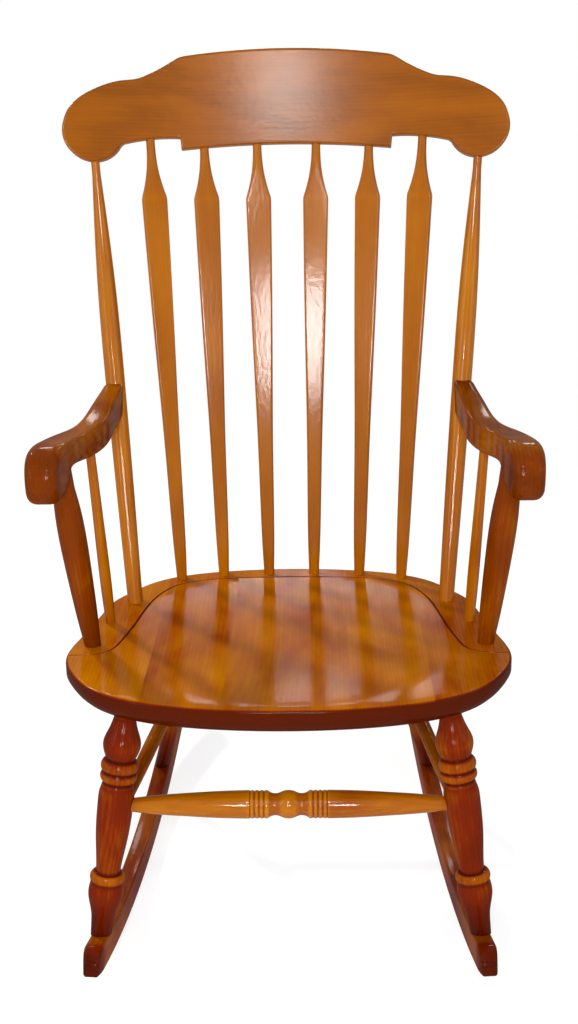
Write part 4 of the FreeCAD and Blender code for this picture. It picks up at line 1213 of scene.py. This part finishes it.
def lacquered_maple(name, light, dark, coat, coat_roughness):
    """Hard maple, sawn or turned, stained honey brown and sprayed with gloss nitrocellulose lacquer.

    The eye sees faint growth rings, fine short fibres, cloudy patches where the stain took unevenly,
    stain gathered in the turned grooves with painted shade there, and a clear coat with a slight orange
    peel.
    """
    material, tree = blank_material(name)
    # The darkening attribute holds gathered stain and painted shade
    patterns = {label: add_node(tree, "ShaderNodeAttribute", attribute_name=label).outputs["Fac"]
                for label in ("tone", "stain_and_shade")}
    wood = add_node(tree, "ShaderNodeAttribute", attribute_name="grain").outputs["Vector"]
    # The rings wander over 30 mm across and 250 mm along, about a pith outside the board
    slender = add_node(tree, "ShaderNodeMapping", {"Vector": wood, "Scale": (1, 1, 0.12)}).outputs[0]
    patterns["rings"] = add_node(
        tree, "ShaderNodeTexWave",
        {"Vector": slender, "Scale": WAVE_PERIOD / RING_SPACING, "Distortion": 5.0, "Detail": 2.0,
         "Detail Scale": 0.35, "Detail Roughness": 0.6},
        wave_type="RINGS", rings_direction="Z", wave_profile="SIN").outputs["Fac"]
    for label, (size, detail, rough, distortion, move) in WOOD_NOISES.items():
        scale = [1000 / millimetres for millimetres in size]
        place = add_node(tree, "ShaderNodeMapping", {"Vector": wood, "Scale": scale, "Location": move})
        patterns[label] = add_node(
            tree, "ShaderNodeTexNoise",
            {"Vector": place.outputs[0], "Scale": 1.0, "Detail": detail, "Roughness": rough,
             "Distortion": distortion}).outputs["Fac"]

    # Sums of the patterns by their weights: one moves the colour, the other raises the surface
    sums = []
    for start, weights in ((COLOUR_START, COLOUR_WEIGHTS), (0.0, RELIEF_WEIGHTS)):
        for label, weight in weights.items():
            part = add_node(tree, "ShaderNodeMath", {0: patterns[label], 1: weight}, operation="MULTIPLY")
            start = add_node(tree, "ShaderNodeMath", {0: part.outputs[0], 1: start},
                             operation="ADD").outputs[0]
        sums.append(start)
    mix, relief = sums
    colour = add_node(tree, "ShaderNodeValToRGB", {"Fac": mix},
                      [(0.0, linear(dark, 0.3)), (0.3, linear(dark)), (0.75, linear(light)),
                       (1.0, linear(light, 1.1))]).outputs["Color"]
    bump = add_node(tree, "ShaderNodeBump",
                    {"Height": relief, "Strength": 1.0, "Distance": RELIEF_HEIGHT}).outputs[0]
    shader = add_node(tree, "ShaderNodeBsdfPrincipled", {
        "Base Color": colour, "Roughness": 0.5, "Specular IOR Level": 0.0, "Coat Weight": coat,
        "Coat Roughness": coat_roughness, "Coat IOR": 1.5, "Normal": bump, "Coat Normal": bump})
    add_node(tree, "ShaderNodeOutputMaterial", {"Surface": shader.outputs[0]})
    return material


def birch_dowel(name, code):
    """Plain planed birch, unstained: pale, dull, with fine straight fibres.

    The fibres, really 0.1 mm wide, are drawn 1.1 mm wide and 17 mm long so that they show.
    """
    material, tree = blank_material(name)
    place = add_node(tree, "ShaderNodeTexCoord").outputs["Object"]
    scale = [1000 / millimetres for millimetres in BIRCH_FIBRE]
    stretched = add_node(tree, "ShaderNodeMapping", {"Vector": place, "Scale": scale}).outputs[0]
    fibres = add_node(tree, "ShaderNodeTexNoise", {"Vector": stretched, "Scale": 1.0}).outputs["Fac"]
    colour = add_node(tree, "ShaderNodeValToRGB", {"Fac": fibres},
                      [(0.3, linear(code, 0.75)), (0.7, linear(code))]).outputs["Color"]
    shader = add_node(tree, "ShaderNodeBsdfPrincipled",
                      {"Base Color": colour, "Roughness": 0.6, "IOR": 1.5})
    add_node(tree, "ShaderNodeOutputMaterial", {"Surface": shader.outputs[0]})
    return material


def finish(part):
    """The stained maple of one part of the chair, made once."""
    name = "lacquered_maple_" + part
    if name in bpy.data.materials:
        return bpy.data.materials[name]
    group, coat, roughness = FINISHES[part]
    colours = bpy.context.scene.rocker_finish
    light, dark = (getattr(colours, group + end) for end in ("_light", "_dark"))
    return lacquered_maple(name, light, dark, coat, roughness)


# Studio


def background_rays(tree):
    """1 for rays from the camera, a reflection or glass, which see the plain background, and else 0."""
    path = add_node(tree, "ShaderNodeLightPath")
    seen = path.outputs["Is Camera Ray"]
    for ray in ("Is Glossy Ray", "Is Transmission Ray"):
        seen = add_node(tree, "ShaderNodeMath", {0: seen, 1: path.outputs[ray]},
                        operation="MAXIMUM").outputs[0]
    return seen


def studio_floor(name, code):
    """Pale painted floor: lit by the lamps near the chair, and white to the camera further away."""
    material, tree = blank_material(name)
    place = add_node(tree, "ShaderNodeTexCoord").outputs["Object"]
    away = add_node(tree, "ShaderNodeVectorMath", {0: place}, operation="LENGTH").outputs["Value"]
    far = add_node(tree, "ShaderNodeMapRange",
                   {"Value": away, "From Min": FLOOR_NEAR, "From Max": FLOOR_FAR},
                   interpolation_type="SMOOTHSTEP").outputs[0]
    lit = add_node(tree, "ShaderNodeBsdfDiffuse", {"Color": linear(code)}).outputs[0]
    shaded = add_node(tree, "ShaderNodeBsdfDiffuse", {"Color": FLOOR_SHADE}).outputs[0]
    glow, white = (add_node(tree, "ShaderNodeEmission", {"Color": WHITE, "Strength": strength}).outputs[0]
                   for strength in (FLOOR_GLOW, 1.0))
    near = add_node(tree, "ShaderNodeAddShader", {0: shaded, 1: glow}).outputs[0]
    floor = add_node(tree, "ShaderNodeMixShader", {0: far, 1: near, 2: white}).outputs[0]
    mixed = add_node(tree, "ShaderNodeMixShader", {0: background_rays(tree), 1: lit, 2: floor}).outputs[0]
    add_node(tree, "ShaderNodeOutputMaterial", {"Surface": mixed})
    return material


def build_floor(settings, colours):
    """One large flat square below the rockers."""
    half = settings.floor_size / 2
    mesh = bpy.data.meshes.new("studio_floor")
    mesh.from_pydata([(x * half, y * half, -settings.floor_drop)
                      for x, y in ((-1, -1), (1, -1), (1, 1), (-1, 1))], [], [(0, 1, 2, 3)])
    mesh.materials.append(studio_floor("studio_floor_paint", colours.floor))
    floor = add_object("studio_floor", mesh)


def softbox(name, place, target, width, height, power):
    """A rectangular soft lamp at a place, turned to face a target."""
    lamp = bpy.data.lights.new(name, "AREA")
    lamp.shape = "RECTANGLE"
    lamp.size = width
    lamp.size_y = height
    lamp.energy = power
    way = Vector(target) - Vector(place)
    turn = way.to_track_quat("-Z", "Y").to_matrix().to_4x4()
    add_object(name, lamp).matrix_world = Matrix.Translation(place) @ turn


def build_world():
    """White to the camera and in reflections, and a plain grey light on everything else."""
    world = bpy.data.worlds.new("studio_world")
    world.use_nodes = True
    tree = world.node_tree
    tree.nodes.clear()
    light, white = (
        add_node(tree, "ShaderNodeBackground", {"Color": WHITE, "Strength": strength}).outputs[0]
        for strength in (WORLD_LIGHT, 1.0))
    mixed = add_node(tree, "ShaderNodeMixShader", {0: background_rays(tree), 1: light, 2: white})
    add_node(tree, "ShaderNodeOutputWorld", {"Surface": mixed.outputs[0]})
    bpy.context.scene.world = world


def build_camera(settings):
    """The camera from the place and angles that the photograph's perspective gives."""
    camera = bpy.data.cameras.new("camera")
    camera.sensor_width = settings.sensor
    camera.lens = settings.sensor * settings.focal_pixels / settings.picture_height
    camera.clip_end = CAMERA_REACH
    turn = (Matrix.Rotation(settings.camera_yaw, 4, "Z")
            @ Matrix.Rotation(math.pi / 2 - settings.camera_pitch, 4, "X")
            @ Matrix.Rotation(settings.camera_roll, 4, "Z"))
    holder = add_object("camera", camera)
    holder.matrix_world = Matrix.Translation(settings.camera_place) @ turn
    bpy.context.scene.camera = holder


# Operators


class ROCKER_OT_seat(bpy.types.Operator):
    """Build the dished and grooved seat from its five boards"""
    bl_idname = "rocker.seat"
    bl_label = "Seat boards"

    def execute(self, context):
        build_seat(Layout(context.scene))
        return {"FINISHED"}


class ROCKER_OT_rockers(bpy.types.Operator):
    """Build the two sawn rockers"""
    bl_idname = "rocker.rockers"
    bl_label = "Rockers"

    def execute(self, context):
        build_rockers(Layout(context.scene))
        return {"FINISHED"}


class ROCKER_OT_legs(bpy.types.Operator):
    """Build the four turned legs"""
    bl_idname = "rocker.legs"
    bl_label = "Legs"

    def execute(self, context):
        build_legs(Layout(context.scene))
        return {"FINISHED"}


class ROCKER_OT_stretchers(bpy.types.Operator):
    """Build the front, rear and side stretchers"""
    bl_idname = "rocker.stretchers"
    bl_label = "Stretchers"

    def execute(self, context):
        build_stretchers(Layout(context.scene))
        return {"FINISHED"}


class ROCKER_OT_back(bpy.types.Operator):
    """Build the back posts and the arrow-shaped slats"""
    bl_idname = "rocker.back"
    bl_label = "Back posts and slats"

    def execute(self, context):
        build_back(Layout(context.scene))
        return {"FINISHED"}


class ROCKER_OT_crest_rail(bpy.types.Operator):
    """Build the shaped and bent crest rail"""
    bl_idname = "rocker.crest_rail"
    bl_label = "Crest rail"

    def execute(self, context):
        build_crest_rail(Layout(context.scene))
        return {"FINISHED"}


class ROCKER_OT_arms(bpy.types.Operator):
    """Build the arms with their posts and spindles"""
    bl_idname = "rocker.arms"
    bl_label = "Arms"

    def execute(self, context):
        build_arms(Layout(context.scene))
        return {"FINISHED"}


class ROCKER_OT_dowels(bpy.types.Operator):
    """Finish the dowels between the arms and the back posts"""
    bl_idname = "rocker.dowels"
    bl_label = "Dowels"

    def execute(self, context):
        material = birch_dowel("planed_birch", context.scene.rocker_finish.dowel)
        for name, _ in SIDES:
            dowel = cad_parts[name + "_arm_dowel"]
            for slot in dowel.material_slots:
                slot.material = material
        return {"FINISHED"}


class ROCKER_OT_studio(bpy.types.Operator):
    """Set up the pale floor, the soft lamps and the camera"""
    bl_idname = "rocker.studio"
    bl_label = "Studio"

    def execute(self, context):
        scene = context.scene
        scene.view_settings.view_transform = "Standard"
        build_floor(scene.rocker_studio, scene.rocker_finish)
        build_world()
        for lamp in LAMPS:
            softbox(*lamp)
        build_camera(scene.rocker_studio)
        return {"FINISHED"}


OPERATORS = (ROCKER_OT_seat, ROCKER_OT_rockers, ROCKER_OT_legs, ROCKER_OT_stretchers, ROCKER_OT_back,
             ROCKER_OT_crest_rail, ROCKER_OT_arms, ROCKER_OT_dowels, ROCKER_OT_studio)


class ROCKER_PT_pieces(bpy.types.Panel):
    """Lists the chair's builders"""
    bl_idname = "ROCKER_PT_pieces"
    bl_label = "Rocking chair"
    bl_space_type = "VIEW_3D"
    bl_region_type = "UI"
    bl_category = "Rocker"

    def draw(self, context):
        for operator in OPERATORS:
            self.layout.operator(operator.bl_idname)


def register():
    """Registers the groups, the operators and the panel."""
    for name, group in GROUPS.items():
        bpy.utils.register_class(group)
        setattr(bpy.types.Scene, name, PointerProperty(type=group))
    for shown in OPERATORS + (ROCKER_PT_pieces,):
        bpy.utils.register_class(shown)


def unregister():
    """Takes away what register added."""
    for shown in (ROCKER_PT_pieces,) + OPERATORS[::-1]:
        bpy.utils.unregister_class(shown)
    for name, group in GROUPS.items():
        delattr(bpy.types.Scene, name)
        bpy.utils.unregister_class(group)


def main():
    """Builds the chair piece by piece."""
    register()
    for operator in OPERATORS:
        module, name = operator.bl_idname.split(".")
        getattr(getattr(bpy.ops, module), name)()


if __name__ == "__main__":
    main()
